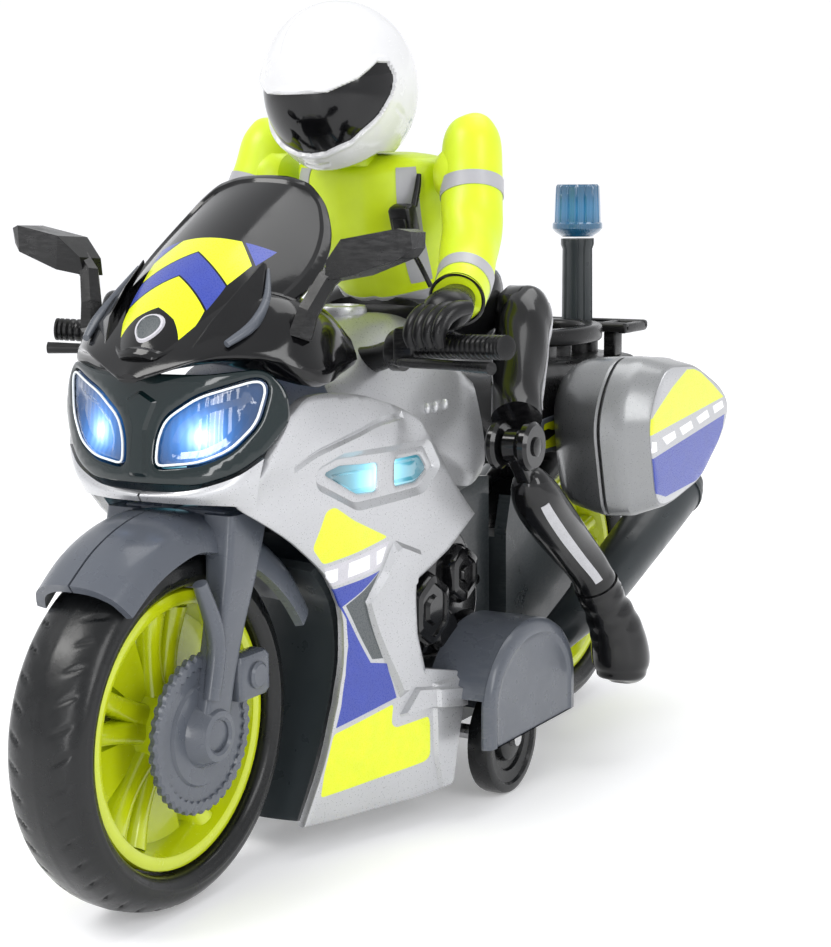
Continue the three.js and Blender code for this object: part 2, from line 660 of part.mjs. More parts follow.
function torso() {
  const section = (y, z, wide, deep, lean) => Array.from({ length: 14 }, (unused, k) => {
    const turn = (2 * Math.PI * k) / 14;
    const across = wide * Math.sign(Math.cos(turn)) * Math.abs(Math.cos(turn)) ** 0.75;
    const along = deep * Math.sin(turn);
    return [across, y + along * Math.cos(lean), z + along * Math.sin(lean)];
  });
  const body = loft([
    section(70, 82, 10.4, 9.6, 0.42), section(67.5, 86, 11.6, 10.8, 0.45), section(64, 91, 13, 11, 0.42),
    section(61.5, 96, 13.2, 9.6, 0.3), section(59, 100, 9.6, 7, 0.15),
  ]);
  const neck = moved(upright(3.2, 6, 16), 0, NECK_Y, 101);
  const radio = limb([[10.6, 53, 88, 2.1], [10.6, 53.4, 94, 2.1], [10.6, 54, 97, 1.3]], 6);
  return joined(body, neck, radio);
}

function belt() {
  return hull([
    [59.5, [[0, 80], [5, 79.6], [8, 78.8], [8, 78.4], [5, 78.2], [0, 78.2]]],
    [64, [[0, 79.9], [7, 79.5], [10.6, 78], [10.6, 75], [6, 71.8], [0, 70.4]]],
    [72, [[0, 81], [7.6, 80.6], [12.2, 78.8], [12.2, 72.6], [7, 69.4], [0, 68.4]]],
    [79, [[0, 84.4], [7, 84], [11.8, 82], [12, 74], [7, 69.4], [0, 68.6]]],
    [85.5, [[0, 84.6], [5, 84], [8.8, 81.6], [9, 75], [5.6, 71.4], [0, 70.2]]],
  ]);
}

// The hand hooks over the grip and is open along the line on which the rider lifts off, up and forwards.
function arm() {
  const capProfile = [[0, 13.8], [3.6, 13.8], [4.8, 15.4], [4.8, 18.6], [0, 18.6]];
  const cap = moved(turned(capProfile, 16), 0, SHOULDER.y, SHOULDER.z);
  const sleeve = limb([
    [18.3, 58.2, 106, 2.4], [18.4, 57.8, 103.4, 4.4], [18.8, 56.8, 98.6, 4.8], [19.9, 54.8, 94, 4.6],
    [21.2, 52, 89.4, 4.4], [22.8, 47.6, 84.8, 4.2],
    [24.2, 43.6, 82.4, 4], [25.2, 40, 81, 4],
  ], 12);
  const glove = limb([
    [25.2, 40.4, 81, 3], [26.2, 36.8, 80, 3.4], [26.9, 34, 78.8, 3.8], [27.3, 31.4, 77.6, 3.8],
      [27.5, 29.6, 76.4, 2.6],
  ], 10);
  const channel = limb([[15, 39.5, 73.2, 2.4], [21, 36.5, 74.6, 2.2], [41, 28.2, 75.7, 2.2]], 8);
  const room = joined(...[0, 1.5, 3, 4.5, 6, 7.5].map((rise) => moved(
    channel, 0, rise * Math.sin(LIFT_LEAN), -rise * Math.cos(LIFT_LEAN),
  )));
  return cut(joined(cap, sleeve, glove), room, box(10, 21.8, 25, 50, 70, 78));
}

function thigh() {
  const cap = moved(turned([[0, 12.8], [3.4, 12.8], [4.4, 14], [4.4, 17], [0, 17]], 16), 0, HIP.y, HIP.z);
  const limbBody = limb([
    [16.6, 79.6, 77.2, 4.2], [18.4, 74, 71.6, 4.3], [21, 67.4, 64.8, 4.1], [23.6, 62.2, 59.4, 3.8],
  ], 12);
  const kneeProfile = [[0, 20.6], [3, 20.6], [3.8, 21.4], [3.8, 27], [3, 27.8], [0, 27.8]];
  const knee = moved(turned(kneeProfile, 18), 0, KNEE.y, KNEE.z);
  const slot = box(22.3, 25.9, 53, 70, 46, KNEE.z + 1.2);
  const round = moved(rod(3.1, 22.3, 25.9, 18), 0, KNEE.y, KNEE.z);
  return cut(joined(cap, limbBody, knee), slot, round);
}

function shin() {
  const tongue = moved(rod(2.5, 22.7, 25.5, 14), 0, KNEE.y, KNEE.z);
  const neck = box(22.7, 25.5, -1.8, 1.8, -9, 0).rotateX(0.7).translate(0, KNEE.y, KNEE.z);
  const boot = limb([
    [24.1, 65.6, 51.4, 2.6], [24, 67.2, 49.4, 3.8], [23.8, 74, 43.8, 4], [24, 81, 38.6, 3.7],
      [25, 86.4, 33.4, 3.4],
    [26.2, 89.6, 28, 3.9], [27.4, 92, 21.5, 4.6], [28, 92.8, 15.6, 4.4], [28, 92.6, 13.2, 2.8],
  ], 12);
  return joined(tongue, neck, boot);
}

function ellipsoid(scale) {
  const ball = new THREE.SphereGeometry(1, 18, 12).rotateX(Math.PI / 2);
  return moved(welded(ball.scale(11.2 * scale, 13.6 * scale, 13 * scale)), 0, HEAD.y, HEAD.z);
}

const VISOR_OUTLINE = [
  [30, 109], [36.5, 109], [45, 112.6], [50.6, 117.4], [52.6, 116], [52, 110.6],
  [48, 105], [42, 100.6], [36, 99.2], [30, 99],
];

function helmet() {
  const visorBand = cut(plate(grown(VISOR_OUTLINE, GAP), -20, 20), ellipsoid(0.87));
  const collar = plate([[20, 80], [20, 97.6], [44, 97.6], [48.5, 101.8], [90, 101.8], [90, 80]], -20, 20);
  const neckHole = moved(upright(3.2 + RUNNING, 9, 16), 0, NECK_Y, 100.4);
  return cut(ellipsoid(1), visorBand, collar, neckHole);
}

function visor() {
  return cut(common(ellipsoid(1.005), plate(VISOR_OUTLINE, -20, 20)), ellipsoid(0.9));
}

// ---------------------------------------------------------------- materials

function plain(colour, roughness = 0.4, metalness = 0) {
  return new THREE.MeshStandardMaterial({ color: colour, roughness, metalness });
}

const SILVER = plain(0xb9bcc0, 0.35, 0.5);
const GLOSS_BLACK = plain(0x101113, 0.15);
const MATT_BLACK = plain(0x1b1c1e, 0.5);
const GREY = plain(0x5d6269, 0.45);
const DARK_GREY = plain(0x3b4043, 0.45);
const LIME = plain(0xd2df00, 0.35);
const HI_VIS = plain(0xd8ef00, 0.5);
const RUBBER = plain(0x17191b, 0.5);
const STEEL = plain(0xb5b8ba, 0.3, 1);
const WHITE = plain(0xf2f2ef, 0.3);
const BLUE_LENS = plain(0x2d7fd0, 0.15);
const PALE_BLUE = plain(0x9ccfe4, 0.2);
const SMOKE = plain(0x1c2628, 0.12);
const BOARD_GREEN = plain(0x1f6b3a, 0.5);

// ---------------------------------------------------------------- assembly

const toy = new THREE.Group();
const made = {};

function add(name, geometry, material) {
  const mesh = new THREE.Mesh(welded(geometry), material);
  mesh.name = name;
  made[name] = mesh.geometry;
  toy.add(mesh);
  return mesh.geometry;
}

function addPair(name, geometry, material) {
  add(name + '_left', geometry, material);
  add(name + '_right', mirrored(geometry), material);
}

// Front wheel on the fork, rear wheel in the swing arm, small wheels under the guards.
add('front_tyre', moved(tyre(), 0, 0, WHEEL_R), RUBBER);
add('front_rim', moved(rim(), 0, 0, WHEEL_R), LIME);
add('front_axle', moved(rod(AXLE_R, -9, 9), 0, 0, WHEEL_R), STEEL);
addPair('fork', forkHalf(), GREY);
add('rear_tyre', moved(tyre(), 0, WHEELBASE, WHEEL_R), RUBBER);
add('rear_rim', moved(rim(), 0, WHEELBASE, WHEEL_R), LIME);
add('rear_axle', moved(rod(AXLE_R, -11, 11), 0, WHEELBASE, WHEEL_R), STEEL);
add('swing_arm', swingArm(), DARK_GREY);
add('stabiliser_axle', moved(rod(1.2, -21.4, 21.4), 0, STABILISER.y, STABILISER.r), STEEL);
const smallWheel = turned([
  [1.25, STABILISER.inner], [8.2, STABILISER.inner], [STABILISER.r, STABILISER.inner + 0.8],
  [STABILISER.r, STABILISER.outer - 0.8], [8.2, STABILISER.outer], [4, STABILISER.outer - 0.6],
    [1.25, STABILISER.outer - 0.6],
], 32);
addPair('stabiliser_wheel', moved(smallWheel, 0, STABILISER.y, STABILISER.r), RUBBER);

// Chassis with the battery bay, speaker and circuit board.
add('chassis', chassis(), DARK_GREY);
add('battery_cell_1', moved(upright(CELL.r, CELL.height, 24), 0, CELL.frontY, CELL.z), STEEL);
add('battery_cell_2', moved(upright(CELL.r, CELL.height, 24), 0, CELL.rearY, CELL.z), STEEL);
const screwHole = moved(upright(SCREW_R + GAP, 8), 0, SCREW_Y, 10);
add('battery_cover', cut(box(-5.8, 5.8, 36.9, 59.6, 8.1, 10.2), screwHole), DARK_GREY);
add('battery_screw', moved(upright(SCREW_R, 3.4, 12), 0, SCREW_Y, 10.4), STEEL);
add('circuit_board', box(-5.2, 5.2, 51, 71, 27, 28.4), BOARD_GREEN);
add('speaker', moved(upright(5.4, 4, 24), 0, 60, 33), MATT_BLACK);
add('wheel_shroud', wheelShroud(), DARK_GREY);
addPair('engine_cover', engineCover(), GLOSS_BLACK);
addPair('wheel_guard', wheelGuard(), GREY);
addPair('silencer', silencer(), DARK_GREY);

// Nose, fairing and screen.
add('nose_mask', noseMask(), SMOKE);
addPair('headlight', headlight(), BLUE_LENS);
add('headlight_lamp', moved(rod(2.5, -6, 6, 12), 0, 9, 65), BLUE_LENS);
const leftFairing = clearOf(fairingLeft(), [made.nose_mask]);
addPair('fairing', leftFairing, SILVER);
addPair('side_light', sideLight(), PALE_BLUE);
add('tank_cover', tankCover(), SILVER);
const bar = add('handlebar', handlebar(), MATT_BLACK);
add('cowl', clearOf(cowl(), [made.nose_mask, made.headlight_left, made.headlight_right, made.fairing_left,
  made.fairing_right, made.tank_cover, bar]), GLOSS_BLACK);
add('windscreen', clearOf(windscreen(), [made.cowl]), GLOSS_BLACK);
addPair('mirror', clearOf(mirrorArm(), [made.cowl, made.fairing_left, made.windscreen]), MATT_BLACK);

// Seat, tail, carrier, beacon and button.
add('seat', clearOf(seatUnit(), [made.chassis]), GLOSS_BLACK);
add('carrier', clearOf(carrier(), [made.seat]), GLOSS_BLACK);
add('beacon_pole', moved(beaconPole(), 0, POLE_Y, 68.9), DARK_GREY);
add('beacon_lens', moved(beaconLens(), 0, POLE_Y, 86.7), BLUE_LENS);
add('beacon_lamp', moved(upright(1.6, 5, 12), 0, POLE_Y, 90.6), BLUE_LENS);
add('push_button', moved(upright(BUTTON_R, 5.4), 0, BUTTON_Y, 66), GLOSS_BLACK);
addPair('pannier_body', pannierBody(), SILVER);
addPair('pannier_lid', pannierLid(), SILVER);

// Rider: jacket body and belt, head, arms, and legs hinged at hip and knee.
add('rider_torso', torso(), HI_VIS);
add('rider_belt', clearOf(belt(), [made.rider_torso, made.tank_cover, made.seat]), MATT_BLACK);
add('helmet', helmet(), WHITE);
add('visor', visor(), GLOSS_BLACK);
addPair('arm', arm(), HI_VIS);
addPair('thigh', thigh(), GLOSS_BLACK);
addPair('shin', shin(), GLOSS_BLACK);

// ---------------------------------------------------------------- centring

const size = new THREE.Box3().setFromObject(toy);
toy.position.y = -(size.min.y + size.max.y) / 2;

export default toy;
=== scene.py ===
"""Looks of a toy police motorcycle with its rider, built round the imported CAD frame.

Shapes are written in millimetres with Y counted from the front axle, the bike's left side at +X and the
front at -Y, as in the CAD source. place() turns them into the row frame, in metres.
"""

import math

import bmesh
import bpy
import numpy as np
from mathutils import Matrix, Vector
from mathutils.geometry import delaunay_2d_cdt


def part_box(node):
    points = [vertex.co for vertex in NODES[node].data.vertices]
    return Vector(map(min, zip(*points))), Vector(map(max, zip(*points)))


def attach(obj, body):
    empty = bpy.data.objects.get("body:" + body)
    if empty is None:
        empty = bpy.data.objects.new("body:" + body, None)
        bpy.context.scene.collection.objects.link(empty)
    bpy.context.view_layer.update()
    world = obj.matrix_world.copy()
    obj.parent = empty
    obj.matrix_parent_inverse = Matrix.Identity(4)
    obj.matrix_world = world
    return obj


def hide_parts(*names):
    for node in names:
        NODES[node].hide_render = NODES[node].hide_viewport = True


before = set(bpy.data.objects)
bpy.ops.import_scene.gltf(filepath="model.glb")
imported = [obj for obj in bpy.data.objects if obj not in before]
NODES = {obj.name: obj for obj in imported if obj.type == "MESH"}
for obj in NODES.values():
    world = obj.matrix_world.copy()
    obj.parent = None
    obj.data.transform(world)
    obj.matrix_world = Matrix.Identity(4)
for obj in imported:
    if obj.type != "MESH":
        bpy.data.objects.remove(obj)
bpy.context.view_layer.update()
AXLE_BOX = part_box("front_axle")
AXLE_Y = (AXLE_BOX[0].y + AXLE_BOX[1].y) / 2
MM = 0.001
WHEEL_R = 25.0
WHEELBASE = 120.3
POLE_Y = 134
BUTTON_Y = 122
SHOULDER = (0, 57, 98.6)
HIP = (0, 79, 76.5)
KNEE = (0, 60.5, 57.5)


def place(points):
    """Millimetres from the front axle to metres in the row frame."""
    return np.asarray(points, float) * MM + np.array([0, AXLE_Y, 0])


# ---------------------------------------------------------------- materials


def nodes_of(material):
    tree = material.node_tree
    return tree.nodes, tree.links


class Surface:
    """A Principled material with its coordinates in millimetres, and short ways to add nodes to it."""

    def __init__(self, name, colour, roughness=0.4, metallic=0.0, coat=0.0, coat_roughness=0.1, specular=0.5):
        self.material = bpy.data.materials.new(name)
        self.material.use_nodes = True
        self.nodes, self.links = nodes_of(self.material)
        self.bsdf = self.nodes["Principled BSDF"]
        self.bsdf.inputs["Base Color"].default_value = (*colour, 1)
        self.bsdf.inputs["Roughness"].default_value = roughness
        self.bsdf.inputs["Metallic"].default_value = metallic
        self.bsdf.inputs["Coat Weight"].default_value = coat
        self.bsdf.inputs["Coat Roughness"].default_value = coat_roughness
        self.bsdf.inputs["Specular IOR Level"].default_value = specular
        coordinates = self.nodes.new("ShaderNodeTexCoord")
        scale = self.nodes.new("ShaderNodeVectorMath")
        scale.operation = "SCALE"
        scale.inputs["Scale"].default_value = 1 / MM
        self.links.new(coordinates.outputs["Object"], scale.inputs[0])
        self.at = scale.outputs[0]
        self.heights = []

    def noise(self, per_mm, detail=3.0, stretch=None, rough=0.55):
        node = self.nodes.new("ShaderNodeTexNoise")
        node.inputs["Scale"].default_value = per_mm
        node.inputs["Detail"].default_value = detail
        node.inputs["Roughness"].default_value = rough
        source = self.at
        if stretch:
            mapping = self.nodes.new("ShaderNodeMapping")
            mapping.inputs["Scale"].default_value = stretch
            self.links.new(source, mapping.inputs["Vector"])
            source = mapping.outputs["Vector"]
        self.links.new(source, node.inputs["Vector"])
        return node.outputs["Fac"]

    def math(self, operation, a, b=None, c=None, clamp=False):
        node = self.nodes.new("ShaderNodeMath")
        node.operation = operation
        node.use_clamp = clamp
        for socket, value in zip(node.inputs, (a, b, c)):
            if value is None:
                continue
            if isinstance(value, (int, float)):
                socket.default_value = value
            else:
                self.links.new(value, socket)
        return node.outputs[0]

    def ramp(self, value, low, high, to_low=0.0, to_high=1.0):
        node = self.nodes.new("ShaderNodeMapRange")
        node.inputs["From Min"].default_value = low
        node.inputs["From Max"].default_value = high
        node.inputs["To Min"].default_value = to_low
        node.inputs["To Max"].default_value = to_high
        self.links.new(value, node.inputs["Value"])
        return node.outputs["Result"]

    def mix(self, share, a, b):
        node = self.nodes.new("ShaderNodeMix")
        node.data_type = "RGBA"
        for socket, value in ((node.inputs["Factor"], share), (node.inputs["A"], a), (node.inputs["B"], b)):
            if isinstance(value, tuple):
                socket.default_value = (*value, 1)
            elif isinstance(value, (int, float)):
                socket.default_value = value
            else:
                self.links.new(value, socket)
        return node.outputs["Result"]

    def pointiness(self, low, high):
        node = self.nodes.new("ShaderNodeNewGeometry")
        return self.ramp(node.outputs["Pointiness"], low, high)

    def colour(self, socket):
        self.links.new(socket, self.bsdf.inputs["Base Color"])
        return self

    def roughness(self, socket):
        self.links.new(socket, self.bsdf.inputs["Roughness"])
        return self

    def bump(self, socket, depth_mm, strength=1.0):
        self.heights.append((socket, depth_mm, strength))
        return self

    def done(self):
        normal = None
        for socket, depth, strength in self.heights:
            node = self.nodes.new("ShaderNodeBump")
            node.inputs["Distance"].default_value = depth * MM
            node.inputs["Strength"].default_value = strength
            self.links.new(socket, node.inputs["Height"])
            if normal:
                self.links.new(normal, node.inputs["Normal"])
            normal = node.outputs["Normal"]
        if normal:
            self.links.new(normal, self.bsdf.inputs["Normal"])
        return self.material


def shade(colour, factor):
    return tuple(min(1.0, c * factor) for c in colour)


def moulded(name, colour, roughness=0.4, coat=0.0, grain=0.012, spread=0.07, wear=0.25, specular=0.5):
    """Injection-moulded plastic: fine grain, uneven gloss and paler rubbed edges."""
    s = Surface(name, colour, roughness, coat=coat, coat_roughness=0.06, specular=specular)
    blotch = s.noise(0.09, 2)
    flow = s.noise(0.25, 3)
    fine = s.noise(3.2, 2)
    scuff = s.noise(1.1, 4, stretch=(0.35, 1, 2.2), rough=0.7)
    base = s.mix(blotch, shade(colour, 0.9), shade(colour, 1.08))
    rubbed = s.math("MULTIPLY", s.pointiness(0.53, 0.62), s.ramp(scuff, 0.42, 0.62))
    pale = tuple(c * 0.8 + 0.16 for c in colour)
    s.colour(s.mix(s.math("MULTIPLY", rubbed, wear), base, pale))
    uneven = s.ramp(flow, 0.3, 0.7, roughness - spread, roughness + spread)
    s.roughness(s.math("ADD", uneven, s.ramp(scuff, 0.6, 0.75, 0, 0.1)))
    s.bump(fine, grain)
    s.bump(blotch, grain * 2, 0.5)
    return s.done()


def silver_paint(name, colour):
    """Metallic lacquer on plastic: flakes under a soft gloss and a little orange peel."""
    s = Surface(name, colour, 0.34, metallic=0.62, coat=0.55, coat_roughness=0.16)
    cells = s.nodes.new("ShaderNodeTexVoronoi")
    cells.inputs["Scale"].default_value = 9.0
    s.links.new(s.at, cells.inputs["Vector"])
    flake = s.nodes.new("ShaderNodeSeparateColor")
    s.links.new(cells.outputs["Color"], flake.inputs["Color"])
    blotch = s.noise(0.07, 2)
    base = s.mix(blotch, shade(colour, 0.93), shade(colour, 1.05))
    sparkle = s.mix(s.ramp(flake.outputs["Red"], 0.0, 1.0, 0.0, 0.5), shade(colour, 0.86),
        shade(colour, 1.22))
    s.colour(s.mix(0.45, base, sparkle))
    s.roughness(s.ramp(flake.outputs["Green"], 0, 1, 0.27, 0.42))
    s.bump(flake.outputs["Blue"], 0.006)
    s.bump(s.noise(0.8, 2), 0.012)
    return s.done()


def printed(name, colour, roughness=0.3):
    """Pad-printed ink: solid colour with a slightly uneven film and tiny specks."""
    s = Surface(name, colour, roughness, coat=0.35, coat_roughness=0.12)
    film = s.noise(0.5, 4)
    speck = s.noise(5.0, 2)
    s.colour(s.mix(s.ramp(film, 0.35, 0.65), shade(colour, 0.94), shade(colour, 1.03)))
    s.roughness(s.ramp(speck, 0.4, 0.7, roughness - 0.05, roughness + 0.12))
    s.bump(film, 0.01)
    s.bump(speck, 0.004)
    return s.done()


def lit_lens(name, colour, lamps, reach, strength, rib=None):
    """A clear coloured lens with light behind it: bright round its lamps, deep in its corners."""
    s = Surface(name, colour, 0.08, coat=1.0, coat_roughness=0.03, specular=0.6)
    glow = None
    for lamp in lamps:
        away = s.nodes.new("ShaderNodeVectorMath")
        away.operation = "DISTANCE"
        s.links.new(s.at, away.inputs[0])
        away.inputs[1].default_value = tuple(place([lamp])[0] / MM)
        near = s.ramp(away.outputs["Value"], 0.0, reach, 1.0, 0.0)
        glow = near if glow is None else s.math("MAXIMUM", glow, near)
    soft = s.math("POWER", glow, 2.2)
    core = s.math("POWER", glow, 5.0)
    facets = s.nodes.new("ShaderNodeTexWave")
    facets.bands_direction = "X"
    facets.inputs["Scale"].default_value = rib or 0.35
    facets.inputs["Distortion"].default_value = 0.6
    facets.inputs["Detail"].default_value = 1.0
    s.links.new(s.at, facets.inputs["Vector"])
    ribs = s.ramp(facets.outputs["Fac"], 0, 1, 0.72, 1.0)
    # The base colour is painted lighter round the lamps and darker in the corners: painted lamp glow and
    # painted shade, on top of the emission.
    painted_glow_tint = s.mix(soft, shade(colour, 0.25), shade(colour, 1.3))
    s.colour(painted_glow_tint)
    hue = s.mix(core, shade(colour, 1.5), (0.85, 0.97, 1.0))
    s.links.new(hue, s.bsdf.inputs["Emission Color"])
    power = s.math("MULTIPLY", s.math("ADD", s.math("MULTIPLY", core, strength), soft), ribs)
    s.links.new(power, s.bsdf.inputs["Emission Strength"])
    s.bump(facets.outputs["Fac"], 0.05, 0.6)
    s.bump(s.noise(0.6, 2), 0.01)
    return s.done()


def rubber(name, colour, roughness=0.32):
    s = Surface(name, colour, roughness, coat=0.1, coat_roughness=0.2, specular=0.3)
    fine = s.noise(2.4, 3)
    dust = s.noise(0.22, 4)
    s.colour(s.mix(s.ramp(dust, 0.5, 0.75, 0, 0.5), colour, tuple(c * 1.5 + 0.004 for c in colour)))
    s.roughness(s.ramp(dust, 0.3, 0.7, roughness - 0.08, roughness + 0.14))
    s.bump(fine, 0.012)
    s.bump(s.noise(0.35, 2), 0.04)
    return s.done()


def steel(name):
    s = Surface(name, (0.55, 0.55, 0.56), 0.3, metallic=1.0)
    brushed = s.noise(2.5, 3, stretch=(6, 0.6, 0.6))
    s.roughness(s.ramp(brushed, 0.3, 0.7, 0.22, 0.42))
    s.bump(brushed, 0.01)
    return s.done()


def cloth_plastic(name, colour, roughness=0.45):
    """Painted soft plastic of the rider: broad smooth shading with a faint satin grain."""
    s = Surface(name, colour, roughness, coat=0.25, coat_roughness=0.3)
    broad = s.noise(0.16, 3)
    fine = s.noise(4.0, 2)
    s.colour(s.mix(s.ramp(broad, 0.3, 0.7), shade(colour, 0.93), shade(colour, 1.04)))
    s.roughness(s.ramp(fine, 0.3, 0.7, roughness - 0.06, roughness + 0.08))
    s.bump(fine, 0.01)
    s.bump(broad, 0.12, 0.5)
    return s.done()


SILVER = silver_paint("silver_lacquer", (0.47, 0.475, 0.49))
SILVER_DARK = silver_paint("pannier_lacquer", (0.24, 0.245, 0.25))
PALE_SILVER = silver_paint("pannier_face_lacquer", (0.46, 0.465, 0.48))
GLOSS_BLACK = moulded("gloss_black", (0.003, 0.003, 0.0035), 0.12, coat=0.25, grain=0.004, spread=0.04,
    wear=0.06, specular=0.28)
SMOKE = moulded("smoke_mask", (0.004, 0.011, 0.012), 0.09, coat=0.35, grain=0.003, spread=0.03,
    wear=0.03, specular=0.35)
SATIN_BLACK = moulded("satin_black", (0.006, 0.006, 0.0065), 0.3, grain=0.012, wear=0.12, specular=0.3)
GREY = moulded("fork_grey", (0.075, 0.084, 0.102), 0.3, coat=0.2, wear=0.15, specular=0.4)
DARK_GREY = moulded("dark_grey", (0.024, 0.030, 0.033), 0.33, coat=0.1, wear=0.15, specular=0.35)
LIME = moulded("lime_rim", (0.50, 0.58, 0.004), 0.22, coat=0.5, grain=0.004, wear=0.05)
TYRE = rubber("tyre_vinyl", (0.006, 0.0065, 0.007), 0.25)
STEEL = steel("axle_steel")
WHITE = moulded("helmet_white", (0.66, 0.66, 0.67), 0.22, coat=0.5, grain=0.003, wear=0.0)
HI_VIS = cloth_plastic("jacket_yellow", (0.58, 0.74, 0.001), 0.42)
BAND = cloth_plastic("jacket_band", (0.36, 0.36, 0.38), 0.4)
LEG_BLACK = moulded("leg_black", (0.004, 0.004, 0.0045), 0.16, coat=0.3, grain=0.006, wear=0.05, specular=0.3)
LEG_STRIPE = printed("leg_stripe", (0.42, 0.42, 0.44))
YELLOW_INK = printed("yellow_ink", (0.68, 0.76, 0.001))
BLUE_INK = printed("blue_ink", (0.022, 0.045, 0.32))
WHITE_INK = printed("white_ink", (0.88, 0.87, 0.9))
PALE_INK = printed("pale_ink", (0.50, 0.49, 0.53))
DARK_INK = printed("dark_ink", (0.06, 0.07, 0.075))
BOARD = moulded("circuit_green", (0.01, 0.12, 0.04), 0.4)
HEADLIGHT = lit_lens(
    "headlight_blue", (0.010, 0.15, 0.50), [(8.0, 1.5, 64.9), (-8.0, 1.5, 64.9)], 8.5, 4.0, 0.3
)
SIDE_LENS = lit_lens(
    "side_lens", (0.10, 0.42, 0.55), [(18, 32.5, 56), (-18, 32.5, 56)], 17.0, 2.5, 0.5
)
BEACON = lit_lens("beacon_blue", (0.03, 0.30, 0.62), [(0, POLE_Y, 91.5)], 6.6, 6.0, 0.9)
# Whitish line round each headlight lens, standing for the bright rim of the lit lens: painted light, made
# with the ink material.
PAINTED_RIM_LIGHT = printed("painted_rim_light", (0.75, 0.8, 0.82), 0.2)


# ---------------------------------------------------------------- mesh helpers


def piece(name, verts, faces, body, materials, face_materials=None, replaces=(), slot=None, angle=38, side=1):
    """A mesh object from points in millimetres. side -1 makes the mirror twin."""
    points = place(verts)
    if side < 0:
        points = points * [-1, 1, 1]
    mesh = bpy.data.meshes.new(name)
    mesh.from_pydata(points.tolist(), [], [list(map(int, f)) for f in faces])
    for material in materials if isinstance(materials, (list, tuple)) else [materials]:
        mesh.materials.append(material)
    if face_materials is not None:
        mesh.polygons.foreach_set("material_index", np.asarray(face_materials, np.int32))
    bm = bmesh.new()
    bm.from_mesh(mesh)
    bmesh.ops.remove_doubles(bm, verts=bm.verts, dist=0.002 * MM)
    bmesh.ops.recalc_face_normals(bm, faces=bm.faces)
    bm.to_mesh(mesh)
    bm.free()
    mesh.shade_smooth()
    mesh.set_sharp_from_angle(angle=math.radians(angle))
    obj = bpy.data.objects.new(name, mesh)
    bpy.context.scene.collection.objects.link(obj)
    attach(obj, body)
    if replaces:
        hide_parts(*replaces)
    return obj


def both(name, verts, faces, bodies, materials, face_materials=None, replaces=(), slot=None, angle=38):
    """The left piece and its mirror twin. bodies and replaces hold a word for each side, or one with {}."""
    made = []
    for side, word in ((1, "left"), (-1, "right")):
        body = bodies.format(word)
        gone = [r.format(word) for r in replaces]
        made.append(piece(f"{name}_{word}", verts, faces, body, materials, face_materials, gone, slot,
            angle, side))
    return made


def soften(obj, width=0.3, segments=2, levels=0, angle=30):
    """Rounded moulding edges, then subdivision where the form is curved."""
    if width:
        bevel = obj.modifiers.new("edges", "BEVEL")
        bevel.width = width * MM
        bevel.segments = segments
        bevel.limit_method = "ANGLE"
        bevel.angle_limit = math.radians(angle)
        bevel.harden_normals = False
    if levels:
        sub = obj.modifiers.new("smooth", "SUBSURF")
        sub.levels = sub.render_levels = levels
    return obj


def merged(*parts):
    """Joins (verts, faces[, materials]) parts into one."""
    verts, faces, marks, start = [], [], [], 0
    for part in parts:
        v, f = part[0], part[1]
        m = part[2] if len(part) > 2 else [0] * len(f)
        verts.extend(np.asarray(v, float).tolist())
        faces.extend([[i + start for i in face] for face in f])
        marks.extend(m)
        start += len(v)
    return verts, faces, marks


def spline(points, per_span=8, closed=False):
    """A Catmull-Rom curve through the points."""
    p = np.asarray(points, float)
    n = len(p)
    spans = n if closed else n - 1
    out = []
    for i in range(spans):
        if closed:
            a, b, c, d = (p[(i + k - 1) % n] for k in range(4))
        else:
            a, b, c, d = (p[min(max(i + k - 1, 0), n - 1)] for k in range(4))
        for k in range(per_span):
            t = k / per_span
            out.append(0.5 * (
                2 * b + (c - a) * t + (2 * a - 5 * b + 4 * c - d) * t * t + (3 * b - a - 3 * c + d) * t ** 3
            ))
    if not closed:
        out.append(p[-1])
    return np.array(out)


def dense(control, up, across, closed=False):
    """A grid of control points (rows of points) made finer along both ways."""
    rows = np.array([spline(row, across, closed) for row in control])
    return np.array([spline(rows[:, i], up) for i in range(rows.shape[1])]).transpose(1, 0, 2)


def grid_faces(rows, columns, closed=False):
    faces = []
    for r in range(rows - 1):
        for c in range(columns if closed else columns - 1):
            d = (c + 1) % columns
            faces.append([r * columns + c, r * columns + d, (r + 1) * columns + d, (r + 1) * columns + c])
    return faces


def hoop_faces(levels, count):
    """Faces of a grid of points that closes both ways."""
    return [
        [r * count + c, r * count + (c + 1) % count, (r + 1) % levels * count + (c + 1) % count,
         (r + 1) % levels * count + c]
        for r in range(levels) for c in range(count)
    ]


def tube(rings):
    """A closed loft through rings, with fans at its ends."""
    rings = np.asarray(rings, float)
    levels, count = rings.shape[:2]
    verts = rings.reshape(-1, 3).tolist()
    faces = grid_faces(levels, count, True)
    for level in (0, levels - 1):
        verts.append(rings[level].mean(0).tolist())
        for c in range(count):
            faces.append([len(verts) - 1, level * count + c, level * count + (c + 1) % count])
    return verts, faces


def lathe(profile, steps=96, centre=(0, 0, 0), axis="X", closed=True):
    """Turns a profile of [radius, along] points about an axis through centre."""
    profile = np.asarray(profile, float)
    rings = []
    for k in range(steps):
        turn = 2 * math.pi * k / steps
        c, s = math.cos(turn), math.sin(turn)
        if axis == "X":
            rings.append([[x, r * c, r * s] for r, x in profile])
        else:
            rings.append([[r * c, r * s, z] for r, z in profile])
    rings = np.array(rings) + np.array(centre)
    count = len(profile)
    verts = rings.reshape(-1, 3)
    faces = []
    for k in range(steps):
        n = (k + 1) % steps
        for i in range(count if closed else count - 1):
            j = (i + 1) % count
            faces.append([k * count + i, k * count + j, n * count + j, n * count + i])
    return verts.tolist(), faces


